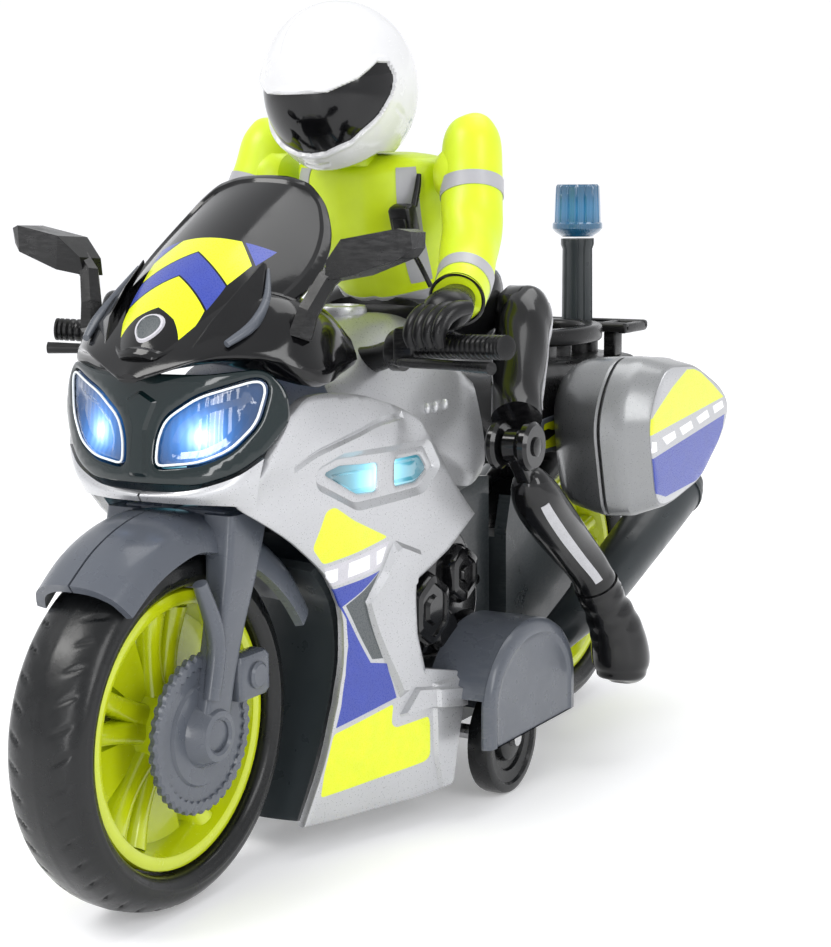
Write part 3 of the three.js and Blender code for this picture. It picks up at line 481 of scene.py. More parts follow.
def rounded(outline, radius, steps=4):
    """A polygon with its corners rounded."""
    p = np.asarray(outline, float)
    out = []
    for i, corner in enumerate(p):
        before, after = p[i - 1] - corner, p[(i + 1) % len(p)] - corner
        a = before / max(np.linalg.norm(before), 1e-9) * min(radius, np.linalg.norm(before) * 0.45)
        b = after / max(np.linalg.norm(after), 1e-9) * min(radius, np.linalg.norm(after) * 0.45)
        for k in range(steps + 1):
            t = k / steps
            out.append(corner + a * (1 - t) ** 2 + b * t ** 2)
    return np.array(out)


def along(outline, step):
    """Points spaced evenly enough along a closed outline, corners kept."""
    out = []
    p = np.asarray(outline, float)
    for i, a in enumerate(p):
        b = p[(i + 1) % len(p)]
        count = max(1, int(math.ceil(np.linalg.norm(b - a) / step)))
        out.extend(a + (b - a) * k / count for k in range(count))
    return np.array(out)


def inside(points, outline):
    """Which points lie in the outline."""
    p, o = np.asarray(points, float), np.asarray(outline, float)
    x, y = p[:, 0], p[:, 1]
    result = np.zeros(len(p), bool)
    for (x0, y0), (x1, y1) in zip(o, np.roll(o, -1, 0)):
        crosses = (y0 > y) != (y1 > y)
        with np.errstate(divide="ignore", invalid="ignore"):
            edge = (x1 - x0) * (y - y0) / (y1 - y0) + x0
        result ^= crosses & (x < edge)
    return result


def distance(points, outline, closed=True):
    """How far points are from an outline or line."""
    p, o = np.asarray(points, float), np.asarray(outline, float)
    best = np.full(len(p), 1e9)
    ends = np.roll(o, -1, 0) if closed else o[1:]
    for a, b in zip(o, ends):
        d = b - a
        t = np.clip(((p - a) @ d) / max(d @ d, 1e-12), 0, 1)
        best = np.minimum(best, np.linalg.norm(p - (a + t[:, None] * d), axis=1))
    return best


def inset(outline, by):
    """An outline moved inwards, kept where it stays that far from the outline itself."""
    o = np.asarray(outline, float)
    area = np.sum(o[:, 0] * np.roll(o[:, 1], -1) - np.roll(o[:, 0], -1) * o[:, 1])
    before, after = o - np.roll(o, 1, 0), np.roll(o, -1, 0) - o
    n1 = np.stack([-before[:, 1], before[:, 0]], 1) / np.maximum(np.linalg.norm(before, axis=1), 1e-9)[:,
        None]
    n2 = np.stack([-after[:, 1], after[:, 0]], 1) / np.maximum(np.linalg.norm(after, axis=1), 1e-9)[:, None]
    n = n1 + n2
    n /= np.maximum(np.sum(n * n1, 1), 0.35)[:, None]
    moved = o + n * by * (1 if area > 0 else -1)
    keep = (distance(moved, o) > abs(by) * 0.97) & (inside(moved, o) if by > 0 else ~inside(moved, o))
    return moved[keep]


def stroke(points, width):
    """The outline of a line drawn with a width."""
    p = np.asarray(points, float)
    tangent = np.gradient(p, axis=0)
    tangent /= np.linalg.norm(tangent, axis=1)[:, None]
    side = np.stack([-tangent[:, 1], tangent[:, 0]], 1) * width / 2
    return np.concatenate([p + side, (p - side)[::-1]])


def smooth_step(t):
    t = np.clip(t, 0, 1)
    return t * t * (3 - 2 * t)


class Relief:
    """A moulded panel drawn flat: an outline with raised, sunk or printed areas, then laid on a surface."""

    def __init__(self, outline, step=1.2, edge=0.5):
        self.outline = along(outline, step)
        self.step, self.edge = step, edge
        self.areas, self.holes = [], []

    def area(self, outline, height=0.0, ramp=0.3, mark=None):
        """A raised (or sunk) area, with a slope of width ramp inside its outline, or only a printed one."""
        outline = along(outline, self.step)
        self.areas.append((outline, height, ramp, mark))
        return self

    def hole(self, outline):
        self.holes.append(along(outline, self.step))
        return self

    def build(self, surface, thickness, spacing=1.0, back=True):
        loops = [(self.outline, True)]
        loops += [(h, True) for h in self.holes]
        rims = [self.outline, *self.holes]
        if self.edge:
            for share in (0.3, 1.0):
                ring = inset(self.outline, self.edge * share)
                loops.append((ring, False))
                for hole in self.holes:
                    loops.append((inset(hole, -self.edge * share), False))
        for outline, height, ramp, mark in self.areas:
            loops.append((outline, True))
            if height:
                loops.append((inset(outline, ramp), False))
        lo, hi = self.outline.min(0), self.outline.max(0)
        us = np.arange(lo[0], hi[0], spacing)
        vs = np.arange(lo[1], hi[1], spacing * 0.866)
        interior = np.array([[u + (j % 2) * spacing / 2, v] for j, v in enumerate(vs) for u in us])
        keep = inside(interior, self.outline) & (distance(interior,
            self.outline) > self.edge + spacing * 0.35)
        for hole in self.holes:
            keep &= ~inside(interior, hole) & (distance(interior, hole) > self.edge + spacing * 0.35)
        for outline, height, ramp, mark in self.areas:
            keep &= distance(interior, outline) > spacing * 0.4
            if height:
                inner = inset(outline, ramp)
                if len(inner) > 2:
                    keep &= distance(interior, inner) > spacing * 0.4
        points, edges = [], []
        for loop, closed in loops:
            if len(loop) < 3:
                continue
            start = len(points)
            ok = np.ones(len(loop), bool)
            if not closed:
                ok = inside(loop, self.outline)
            loop = loop[ok]
            if len(loop) < 3:
                continue
            points.extend(loop.tolist())
            if closed:
                edges.extend((start + i, start + (i + 1) % len(loop)) for i in range(len(loop)))
            else:
                gaps = np.linalg.norm(np.roll(loop, -1, 0) - loop, axis=1)
                edges.extend(
                    (start + i, start + (i + 1) % len(loop))
                    for i in range(len(loop))
                    if gaps[i] < self.step * 2.2
                )
        points.extend(interior[keep].tolist())
        result = delaunay_2d_cdt([Vector(p) for p in points], edges, [], 0, 1e-4, True)
        flat = np.array([list(v) for v in result[0]])
        tris = np.array([list(f) for f in result[2]])
        middle = flat[tris].mean(1)
        keep = inside(middle, self.outline)
        for hole in self.holes:
            keep &= ~inside(middle, hole)
        area2 = np.abs(np.cross(flat[tris[:, 1]] - flat[tris[:, 0]], flat[tris[:, 2]] - flat[tris[:, 0]]))
        keep &= area2 > 1e-7
        tris, middle = tris[keep], middle[keep]
        height = np.zeros(len(flat))
        for outline, rise, ramp, mark in self.areas:
            if rise:
                height += rise * np.clip(np.where(inside(flat, outline), distance(flat, outline),
                    0) / ramp, 0, 1)
        if self.edge:
            d = np.minimum.reduce([distance(flat, rim) for rim in rims])
            r = self.edge
            height -= r - np.sqrt(np.maximum(r * r - (r - np.minimum(d, r)) ** 2, 0))
        marks = np.zeros(len(tris), int)
        for outline, rise, ramp, mark in self.areas:
            if mark is not None:
                marks[inside(middle, outline)] = mark
        base = surface(flat)
        e = 0.05
        du = surface(flat + [e, 0]) - surface(flat - [e, 0])
        dv = surface(flat + [0, e]) - surface(flat - [0, e])
        normal = np.cross(du, dv)
        normal /= np.maximum(np.linalg.norm(normal, axis=1), 1e-9)[:, None]
        normal *= self.facing(base, normal)
        front = base + normal * height[:, None]
        if not back:
            return front.tolist(), tris.tolist(), marks.tolist()
        rear = base - normal * thickness
        count = len(flat)
        faces = tris.tolist() + [[c + count, b + count, a + count] for a, b, c in tris.tolist()]
        seen = {}
        for a, b, c in tris.tolist():
            for i, j in ((a, b), (b, c), (c, a)):
                seen[(i, j)] = True
        walls = [[j, i, i + count, j + count] for i, j in seen if (j, i) not in seen]
        verts = np.concatenate([front, rear])
        return verts.tolist(), faces + walls, marks.tolist() + [0] * (len(tris) + len(walls))

    @staticmethod
    def facing(base, normal):
        """Makes normals point away from the middle of the bike."""
        away = base - np.array([0, 45.0, 55.0])
        sign = np.sign(np.sum(away * normal, 1))
        majority = 1 if sign.sum() >= 0 else -1
        return majority


def thin_plate(control):
    """A smooth function z(u, v) through scattered control points [u, v, z]."""
    c = np.asarray(control, float)
    uv, z = c[:, :2], c[:, 2]
    n = len(c)

    def kernel(d2):
        return np.where(d2 > 1e-12, d2 * np.log(np.maximum(d2, 1e-12)), 0)

    d2 = ((uv[:, None] - uv[None]) ** 2).sum(-1)
    p = np.hstack([np.ones((n, 1)), uv])
    matrix = np.zeros((n + 3, n + 3))
    matrix[:n, :n] = kernel(d2) + np.eye(n) * 2.0
    matrix[:n, n:] = p
    matrix[n:, :n] = p.T
    w = np.linalg.solve(matrix, np.concatenate([z, [0, 0, 0]]))

    def value(points):
        points = np.asarray(points, float)
        out = w[n] + points @ w[n + 1:]
        for i in range(n):
            d = ((points - uv[i]) ** 2).sum(-1)
            out = out + w[i] * kernel(d)
        return out

    return value


def frame_along(path, side_hint=(1, 0, 0)):
    """Square-on directions (side, up) along a path."""
    p = np.asarray(path, float)
    tangent = np.gradient(p, axis=0)
    tangent /= np.maximum(np.linalg.norm(tangent, axis=1), 1e-9)[:, None]
    hint = np.array(side_hint, float)
    side = hint - tangent * (tangent @ hint)[:, None]
    side /= np.maximum(np.linalg.norm(side, axis=1), 1e-9)[:, None]
    return tangent, side, np.cross(tangent, side)


def limb(stations, sides=32, per_span=8, stretch=1.0, shape=None, side_hint=(1, 0, 0)):
    """A smooth swelling limb. Stations are [x, y, z, radius]; shape(t, turn, r) may change the radius."""
    s = spline(stations, per_span)
    path, radius = s[:, :3], s[:, 3]
    tangent, side, up = frame_along(path, side_hint)
    turns = 2 * math.pi * np.arange(sides) / sides
    rings = []
    for i in range(len(path)):
        r = np.full(sides, radius[i])
        if shape is not None:
            r = shape(i / (len(path) - 1), turns, r)
        ring = path[i] + side[i] * (r * np.cos(turns))[:,
            None] + up[i] * (r * stretch * np.sin(turns))[:, None]
        rings.append(ring)
    return np.array(rings)


def slab(outline, x0, x1):
    """An outline of [y, z] points made solid from x0 to x1."""
    o = np.asarray(outline, float)
    n = len(o)
    verts = [[x0, y, z] for y, z in o] + [[x1, y, z] for y, z in o]
    faces = [list(range(n))[::-1], [n + i for i in range(n)]]
    faces += [[i, (i + 1) % n, n + (i + 1) % n, n + i] for i in range(n)]
    return verts, faces


def across(sections):
    """Rings across the bike from [y, half outline], each half going from the top middle down."""
    rings = []
    for y, half in sections:
        left = [[x, y, z] for x, z in half]
        rings.append(left + [[-p[0], p[1], p[2]] for p in left[-2:0:-1]])
    return rings


def swept(rings, along_each=5, around_each=5):
    """A closed body through rings, curved both ways."""
    return tube(dense(rings, along_each, around_each, closed=True))


def shell(front, back):
    """A closed body between two grids of points."""
    front, back = np.asarray(front, float), np.asarray(back, float)
    rows, columns = front.shape[:2]
    count = rows * columns
    faces = grid_faces(rows, columns)
    faces += [[i + count for i in face[::-1]] for face in faces]
    rim = list(range(columns))
    rim += [r * columns + columns - 1 for r in range(1, rows)]
    rim += [(rows - 1) * columns + c for c in range(columns - 2, -1, -1)]
    rim += [r * columns for r in range(rows - 2, 0, -1)]
    faces += [[b, a, a + count, b + count] for a, b in zip(rim, rim[1:] + rim[:1])]
    return np.concatenate([front.reshape(-1, 3), back.reshape(-1, 3)]).tolist(), faces


def grid_normals(grid):
    n = np.cross(np.gradient(grid, axis=0), np.gradient(grid, axis=1))
    return n / np.maximum(np.linalg.norm(n, axis=2), 1e-9)[..., None]


def thick(front, by, towards):
    """A sheet given a thickness on the side of a target."""
    front = np.asarray(front, float)
    normal = grid_normals(front)
    sign = np.sign(np.sum(normal * (np.asarray(towards, float) - front)))
    return shell(front, front + normal * by * sign)


def outward(rings):
    """Normals of a closed loft, pointing away from its middle line."""
    rings = np.asarray(rings, float)
    n = grid_normals(np.concatenate([rings[:, -1:], rings, rings[:, :1]], 1))[:, 1:-1]
    return n * np.sign(np.sum(n * (rings - rings.mean(1)[:, None])))


def patch(rings, rows, columns, lift=0.12, sink=0.3):
    """A thin raised patch on part of a closed loft: rows and columns are index ranges."""
    i, j = np.arange(*rows), np.arange(*columns) % rings.shape[1]
    part, out = rings[np.ix_(i, j)], outward(rings)[np.ix_(i, j)]
    return shell(part + out * lift, part - out * sink)


def cuff(rings, start, end, lift=0.15, sink=0.3):
    """A thin raised band all round a closed loft."""
    out = outward(rings)[start:end]
    rows = rings[start:end]
    loop = np.concatenate([rows + out * lift, (rows - out * sink)[::-1]])
    return loop.reshape(-1, 3).tolist(), hoop_faces(*loop.shape[:2])


def rounded_box(x0, x1, y0, y1, z0, z1, radius=0.6, turn=None, at=(0, 0, 0)):
    """A box with rounded corners and edges, made as rings along z."""
    rings = []
    corners = [[x0, y0], [x1, y0], [x1, y1], [x0, y1]]
    for share, z in ((radius, z0), (radius * 0.3, z0 + radius * 0.3), (0, z0 + radius), (0, z1 - radius),
                     (radius * 0.3, z1 - radius * 0.3), (radius, z1)):
        ring = rounded([[x + (share if x == x0 else -share), y + (share if y == y0 else -share)] for x,
            y in corners],
                       max(radius, 0.2), 3)
        rings.append([[x, y, z] for x, y in ring])
    verts, faces = tube(rings)
    v = np.array(verts)
    if turn:
        v = v @ np.array(Matrix.Rotation(turn[1], 3, turn[0])).T
    return (v + np.array(at)).tolist(), faces


def mirror(part):
    return (np.asarray(part[0], float) * [-1, 1, 1]).tolist(), part[1]


# ---------------------------------------------------------------- wheels


def tyre(name, y, body, replaces):
    """Round crown, rolled shoulders, a ring step on the wall and short slanting tread cuts."""
    half = spline([
        (19.55, 0), (19.5, 3.0), (19.6, 5.0), (20.3, 5.95), (21.6, 6.3), (22.9, 5.95), (24.0, 4.7),
        (24.75, 2.6), (25, 0),
    ], 5)
    profile = np.concatenate([half, (half * [1, -1])[::-1][1:-1]])
    steps = 400
    verts, faces = lathe(profile, steps, (0, y, WHEEL_R))
    v = np.array(verts).reshape(steps, len(profile), 3)
    rel = v - [0, y, WHEEL_R]
    r = np.linalg.norm(rel[..., 1:], axis=-1)
    x = rel[..., 0]
    turn = np.arctan2(rel[..., 2], rel[..., 1])
    pitch = 2 * math.pi / 40
    for sign, offset in ((1, 0.0), (-1, 0.5)):
        lean = (np.abs(x) - 3.6) * 0.028
        phase = ((turn + lean) / pitch + offset) % 1
        across = np.abs(phase - 0.5) * pitch * WHEEL_R
        cut = smooth_step(1 - across / 0.42) * smooth_step(1 - np.abs(np.abs(x) - 3.7) / 1.9)
        cut = cut * (np.sign(x) == sign) * (r > 23)
        rel[..., 1:] *= (1 - 0.42 * cut / np.maximum(r, 1))[..., None]
    ring = smooth_step(1 - np.abs(r - 21.3) / 0.5) * (np.abs(x) > 5.4)
    rel[..., 0] *= 1 + 0.03 * ring
    v = rel + [0, y, WHEEL_R]
    return piece(name, v.reshape(-1, 3), faces, body, TYRE, replaces=replaces, slot="tyre", angle=50)


WEB_SECTION = ((5, -0.7), (16.6, -0.7), (16.6, 0.7), (5, 0.7))


def rim(name, y, body, replaces):
    """Lime rim: rolled lips, a sloping well, a thin web with slots and five pairs of bulging spokes."""
    centre = (0, y, WHEEL_R)
    half = [
        (19.15, 0), (19.15, 4.1), (18.95, 4.55), (18.5, 4.7), (17.6, 4.7), (17.15, 4.5), (16.95, 4.0),
        (16.7, 3.2),
        (15.9, 1.2), (15.8, 0),
    ]
    profile = half + [(r, -x) for r, x in half[1:-1]][::-1]
    parts = [lathe(profile, 120, centre)]
    hub = [(1.85, -3.6), (4.4, -3.6), (5, -3.2), (5.6, -1), (5.6, 1), (5, 3.2), (4.4, 3.6), (1.85, 3.6)]
    parts.append(lathe(hub, 60, centre))
    for pair in range(5):
        middle = 2 * math.pi * pair / 5 + 0.3
        for lean in (-1, 1):
            rings = []
            for k in range(9):
                t = k / 8
                radius = 4.6 + 11.9 * t
                turn = middle + lean * (0.20 - 0.05 * t)
                wide = 1.5 + 0.5 * (2 * t - 1) ** 2
                deep = 2.6 + 0.9 * t ** 2 - 0.5 * math.sin(math.pi * t)
                radial = np.array([0, math.cos(turn), math.sin(turn)])
                tangent = np.array([0, -math.sin(turn), math.cos(turn)])
                ring = []
                for a in np.arange(16) * 2 * math.pi / 16:
                    c, s = math.cos(a), math.sin(a)
                    ring.append(
                        np.array(centre) + radial * radius
                        + tangent * wide * np.sign(c) * abs(c) ** 0.7
                        + np.array([1, 0, 0]) * deep * np.sign(s) * abs(s) ** 0.7
                    )
                rings.append(ring)
            parts.append(tube(rings))
        # The web leaves a slot on each side of a spoke pair.
        web = []
        for k in range(13):
            turn = middle + 0.36 + (0.9 - 0.36) * k / 12
            c, s = math.cos(turn), math.sin(turn)
            web.append([[x, y + r * c, WHEEL_R + r * s] for r, x in WEB_SECTION])
        parts.append(tube(web))
    verts, faces, _ = merged(*parts)
    return piece(name, verts, faces, body, LIME, replaces=replaces, slot="lime_plastic", angle=40)


tyre("front_tyre_moulding", 0, "front_wheel", ["front_tyre"])
rim("front_rim_moulding", 0, "front_wheel", ["front_rim"])
tyre("rear_tyre_moulding", WHEELBASE, "rear_wheel", ["rear_tyre"])
rim("rear_rim_moulding", WHEELBASE, "rear_wheel", ["rear_rim"])

STAB_Y, STAB_R = 67.0, 9.0
small = [
    (1.25, 16.7), (3.4, 16.7), (3.4, 17.1), (7.6, 17.1), (8.3, 16.7), (8.8, 16.9), (9, 17.5), (9, 19.7),
    (8.8, 20.3),
    (8.3, 20.55), (7.5, 20.55), (7.2, 20.1), (5.4, 19.9), (5.1, 19.4), (3.9, 19.2), (3.6, 20.1),
    (3.0, 20.35), (1.25, 20.35),
]
both("stabiliser_wheel_moulding", *lathe(small, 72, (0, STAB_Y, STAB_R)), "stabiliser_wheels", TYRE,
     replaces=["stabiliser_wheel_{}"], slot="tyre", angle=32)

# ---------------------------------------------------------------- fairing

FAIRING_ROWS = [
    [[18.2, 7.4, 67.6], [17.6, 12.5, 69.6], [16.8, 20, 69.4], [16.2, 28, 68.4], [16.2, 34, 66.9],
    [16.6, 40, 65]],
    [[17.4, 5.2, 63.6], [17.9, 11, 65.5], [17.9, 19, 66.2], [17.6, 27, 66], [17.4, 35, 65.3],
    [17.1, 42, 63.9]],
    [[16.2, 3.8, 60.2], [17.4, 9.5, 61], [18.3, 17.2, 62.5], [18.4, 25, 63.2], [18.2, 33, 63.6],
    [17.6, 43.5, 62.8]],
    [[14, 3, 57.8], [16.2, 9.5, 57.5], [17.6, 17, 59], [18.2, 26, 59.5], [18.4, 36, 59.5], [18, 48, 57.5]],
    [[12.2, 2.6, 55.8], [14.6, 8, 53.8], [17, 16, 54.5], [18.1, 26, 54.5], [18.4, 38, 54], [17.8, 54, 51.5]],
    [[13.6, 6.8, 52.8], [14.8, 11.5, 51], [16.5, 19, 50], [17.6, 28, 49.6], [18, 40, 49], [17.5, 60.3, 46.4]],
    [[14.4, 15.6, 47.3], [15.2, 19.2, 46.5], [16.4, 25, 45.4], [17.2, 33, 44.2], [17.4, 42, 43],
    [17.2, 52, 41.9]],
    [[13.8, 24.6, 39.9], [14.8, 26.8, 39.6], [15.8, 29, 39.3], [16.5, 33.5, 39], [16.8, 37.5, 38.6],
    [16.7, 41.5, 38.3]],
    [[13, 28, 30.8], [14.2, 31, 30.8], [15.3, 34.2, 30.9], [16, 37, 31], [16.4, 40, 31], [16.5, 42.2, 31]],
    [[12.1, 27.9, 24], [13.4, 31.4, 24.2], [14.8, 35.5, 24.5], [15.8, 38.5, 24.8], [16.3, 41.5, 25],
    [16.6, 44.3, 25.2]],
    [[11.7, 27.2, 20.5], [13.2, 31.8, 20.7], [15, 38, 21], [16.4, 43, 21.4], [17.4, 49, 21.8],
    [18, 55.8, 22.3]],
    [[10.5, 26, 13.5], [12.4, 31.2, 13], [14.6, 38, 12.5], [16.3, 43, 12], [17.4, 48, 11.6], [18, 53, 11.3]],
    [[8.6, 23.4, 4.9], [11, 29.6, 4.8], [13.6, 37.5, 4.8], [15.6, 42.5, 4.9], [17, 47.5, 5], [17.8, 51.7, 5]],
]
side_face = thin_plate([[p[1], p[2], p[0]] for row in FAIRING_ROWS for p in row])
SIDE_WINDOW = [[14.5, 58.3], [20, 59.8], [44, 58.4], [46.8, 55.2], [42, 53.2], [25, 53.8]]


def fairing_surface(flat):
    return np.stack([side_face(flat), flat[:, 0], flat[:, 1]], 1)


front_edge = spline([[row[0][1], row[0][2]] for row in FAIRING_ROWS], 4)
rear_edge = [[row[-1][1], row[-1][2]] for row in FAIRING_ROWS]
top_edge = spline([[p[1], p[2]] for p in FAIRING_ROWS[0]], 4)
bottom_edge = [[p[1], p[2]] for p in FAIRING_ROWS[-1]]
fairing_outline = np.concatenate([top_edge[:-1], rear_edge, bottom_edge[::-1][1:-1], front_edge[::-1][:-1]])
fairing = Relief(fairing_outline, 1.1, 0.45)
fairing.hole(rounded([[17.6, 58.2], [21, 58.9], [30.6, 58.2], [30.6, 54.1], [25.6, 54.4]], 0.8))
fairing.hole(rounded([[35.4, 58.1], [43.2, 57.9], [45.4, 55.5], [42, 54], [35.4, 54.2]], 0.8))
fairing.area(rounded([[14.3, 59.4], [20, 61], [44.6, 60.1], [48.2, 55.6], [42.6, 52.2], [24.6, 52.2],
    [15, 56.6]], 1.2), -0.9, 1.0)
fairing.area(rounded([[48.2, 61.6], [50.4, 59.8], [60.6, 49.4], [56.6, 49.3], [46.6, 58.8]], 0.4), 0.7, 0.35)
fairing.area(rounded([
    [34.9, 46.4], [43.2, 43.4], [42.2, 39.6], [43.3, 31], [45.4, 24.8], [39.6, 21.4], [35.4, 28.1],
    [29.3, 38.2],
    [32.6, 42.2],
], 0.5), 0.9, 0.7)
fairing.area(rounded([[46.6, 22.3], [55.6, 22], [52.6, 11.3], [51.4, 5.4], [48.4, 5.2], [46.8, 11]],
    0.5), 0.6, 0.45)
fairing.area(rounded([[39.4, 18.5], [42.8, 22.5], [54.4, 20.4], [54, 17.2], [45.6, 18.6]], 0.4), 0.9, 0.35)
fairing.area(rounded([[17.5, 53.2], [17.1, 50.5], [16.9, 47.9], [20.0, 45.1], [33.0, 47.2], [23.9, 51.0],
    [19.2, 53.6]], 0.8), mark=1)
fairing.area([[20.5, 44.5], [33.6, 46.6], [32.0, 43.0], [23.4, 41.2]], mark=4)
fairing.area([[20.9, 43.9], [23.1, 44.1], [24.0, 42.1], [22.6, 41.7]], mark=3)
fairing.area([[24.9, 44.6], [29.0, 45.2], [29.5, 43.0], [25.7, 42.3]], mark=3)
fairing.area([[30.6, 45.4], [32.9, 45.8], [32.1, 43.6], [31.0, 43.3]], mark=3)
blue_edge = [[26.2, 37.8], [33.0, 28.2], [35.9, 27.6], [38.9, 21.7]]
fairing.area([
    [23.8, 40.7], [31.9, 42.4], *blue_edge, [27.6, 19.3], [28.4, 22.5], [28.8, 27.0], [28.6, 31.6],
    [27.3, 35.8],
], mark=2)
fairing.area([[31.9, 42.3], [26.7, 37.9], [33.2, 28.7], [35.2, 28.5], [29.6, 38.2]], mark=5)
fairing.area(rounded([
    [27.3, 18.4], [38.4, 20.8], [38.2, 17.7], [39.0, 17.0], [45.6, 17.4], [46.0, 16.4], [46.0, 11.2],
    [45.0, 10.5],
    [25.9, 9.0], [26.2, 12.5],
], 0.6), mark=1)
fairing.area(stroke(spline([[9.6, 60.0], [15, 61.9], [24.6, 63.4], [31, 64.2], [38.6, 64.3]], 3), 1.1),
    -0.45, 0.5)
fairing_verts, fairing_faces, fairing_marks = fairing.build(fairing_surface, 1.4, 0.8)
both("fairing_shell", fairing_verts, fairing_faces, "motorcycle",
     [SILVER, YELLOW_INK, BLUE_INK, WHITE_INK, PALE_INK, DARK_INK], fairing_marks,
     replaces=["fairing_{}"], slot="silver_paint", angle=24)

# ---------------------------------------------------------------- nose mask, headlights and silver chin


def nose_y(x, z):
    return -1.5 + 0.0215 * x * x + 0.12 * (z - 64)


def nose_surface(set_back):
    return lambda flat: np.stack([flat[:, 0], nose_y(flat[:, 0], flat[:, 1]) + set_back, flat[:, 1]], 1)


def flipped(outline):
    return [[-x, z] for x, z in outline][::-1]


MASK_OUTLINE = [[0, 57.8], [8.7, 58.7], [13.3, 60.3], [16.3, 62.8], [18.9, 67], [18.3, 71.2], [15.9, 74],
    [9, 73.2],
                [0, 71.6]]
LAMP_OUTLINE = [[2.3, 60.6], [8.7, 61.3], [12.6, 63], [15.6, 66.6], [16.6, 71.6], [15.3, 73], [8, 70.6],
    [3.6, 67.6],
                [2.4, 64.6]]
lamp_edge = rounded(LAMP_OUTLINE, 1.6)
mask = Relief(rounded(MASK_OUTLINE[1:-1] + flipped(MASK_OUTLINE[1:-1]), 1.5), 1.0, 0.5)
mask.hole(lamp_edge).hole(rounded(flipped(LAMP_OUTLINE), 1.6))
mask.area(rounded([[-1.5, 59.6], [1.5, 59.6], [1.2, 66], [2.6, 69.6], [0, 71], [-2.6, 69.6], [-1.2, 66]],
    0.5), 0.5, 0.45)
mask_verts, mask_faces, _ = mask.build(nose_surface(-0.15), 1.4, 0.9)
piece("nose_mask_moulding", mask_verts, mask_faces, "motorcycle", SMOKE, replaces=["nose_mask"],
    slot="smoke_plastic",
      angle=26)
lens = Relief(inset(lamp_edge, 0.15), 0.8, 0.4)
lens.area(rounded([[5, 62], [9, 62.4], [12, 64], [14.2, 67.2], [14.6, 70.6], [9, 69], [5.6, 66.6],
    [4.6, 64.2]], 1), -0.5, 0.9)
lens_verts, lens_faces, _ = lens.build(nose_surface(0.25), 1.2, 0.8)
both("headlight_lens", lens_verts, lens_faces, "motorcycle", HEADLIGHT, replaces=["headlight_{}"],
    slot="blue_lens",
     angle=26)


def loop_bead(points, radius, sides=8):
    """A thin closed bead along a loop of points."""
    p = np.asarray(points, float)
    tangent = np.roll(p, -1, 0) - np.roll(p, 1, 0)
    tangent /= np.linalg.norm(tangent, axis=1)[:, None]
    out = np.cross(tangent, [0, 1, 0])
    out /= np.linalg.norm(out, axis=1)[:, None]
    front = np.cross(tangent, out)
    turns = 2 * math.pi * np.arange(sides) / sides
    rings = p[:, None] + radius * (
        out[:, None] * np.cos(turns)[None, :, None] + front[:, None] * np.sin(turns)[None, :, None]
    )
    return rings.reshape(-1, 3).tolist(), hoop_faces(len(p), sides)


# A thin whitish bead round each headlight lens: painted light on the lens rim.
both("lens_painted_rim_light", *loop_bead(nose_surface(-0.1)(along(inset(lamp_edge, 0.45), 0.8)), 0.17),
    "motorcycle", PAINTED_RIM_LIGHT)
CHIN = [
    [[0.18, -1.7, 57.4], [5, -1.3, 57.7], [8.7, -0.3, 58.3], [13.2, 1.7, 59.9], [16.2, 3.8, 62.2]],
    [[0.18, -2.1, 57], [5, -1.7, 57.1], [8.7, -0.6, 57.3], [12.8, 1.3, 58.2], [15.6, 3.6, 59.4]],
    [[0.18, -1.6, 56.2], [5, -1, 56.1], [8.7, 0.3, 56], [12.2, 2.4, 55.8], [14.2, 4.6, 55.4]],
]
both("fairing_chin", *thick(dense(CHIN, 6, 6), 1.4, (0, 40, 58)), "motorcycle", SILVER)

side_window = Relief(rounded(SIDE_WINDOW, 1.2), 1.0, 0.3)
side_window.area(rounded([[18, 58], [30.4, 57.8], [30.4, 54.4], [25, 54.6]], 0.7), -0.35, 0.5)
side_window.area(rounded([[35.6, 57.7], [43, 57.5], [45, 55.4], [42, 54.3], [35.6, 54.5]], 0.7), -0.35, 0.5)
window_verts, window_faces, _ = side_window.build(
    lambda flat: np.stack([side_face(flat) - 1.3, flat[:, 0], flat[:, 1]], 1), 1.4, 0.9
)
both("side_light_lens", window_verts, window_faces, "motorcycle", SIDE_LENS, replaces=["side_light_{}"],
     slot="pale_blue_lens", angle=26)

# ---------------------------------------------------------------- cowl, ears and screen

COWL = [
    [-3.6, [[0, 73.4], [0.8, 73.2], [1.6, 72.8], [1.4, 72.4], [0.8, 72.2], [0, 72.2]]],
    [0.6, [[0, 77.4], [4.5, 77.0], [8.6, 76], [9.6, 75.2], [6, 74.2], [0, 73]]],
    [6, [[0, 81.8], [7.5, 81.1], [12.6, 78.6], [15.6, 75.8], [14, 74.6], [0, 74]]],
    [12, [[0, 84.0], [10, 83.8], [15.5, 81.5], [18.6, 76.5], [18.8, 71], [0, 74]]],
    [20, [[0, 82], [10, 82], [15.2, 81], [17.6, 77], [17, 71.4], [0, 74]]],
    [27, [[0, 78], [9, 78], [13.6, 77.6], [15.8, 75.4], [15, 72.4], [0, 74]]],
]
cowl_rings = np.array([spline(ring, 5, True) for ring in across(COWL)])
cowl_rings = spline(cowl_rings.reshape(len(COWL), -1), 6).reshape(-1, cowl_rings.shape[1], 3)
piece("cowl_moulding", *tube(cowl_rings), "motorcycle", GLOSS_BLACK, replaces=["cowl"],
    slot="gloss_black", angle=34)
EAR = [
    [[6.8, 0.4, 76.2], [10.0, 1.6, 75.8], [10.2, 4.8, 76.4], [7.6, 3.4, 78.2]],
    [[8.3, 3.6, 80.2], [12.4, 5.6, 78.6], [12.2, 7.6, 78.4], [9.3, 6, 81.2]],
    [[9.3, 8.4, 84.0], [12.4, 9.8, 82.0], [11.7, 11, 81.4], [9.8, 9.6, 84.0]],
    [[9.9, 13.6, 87.6], [10.5, 13.9, 87.2], [10.4, 14.1, 86.4], [9.9, 13.8, 86.9]],
]
ear_verts, ear_faces = tube(np.array(EAR))
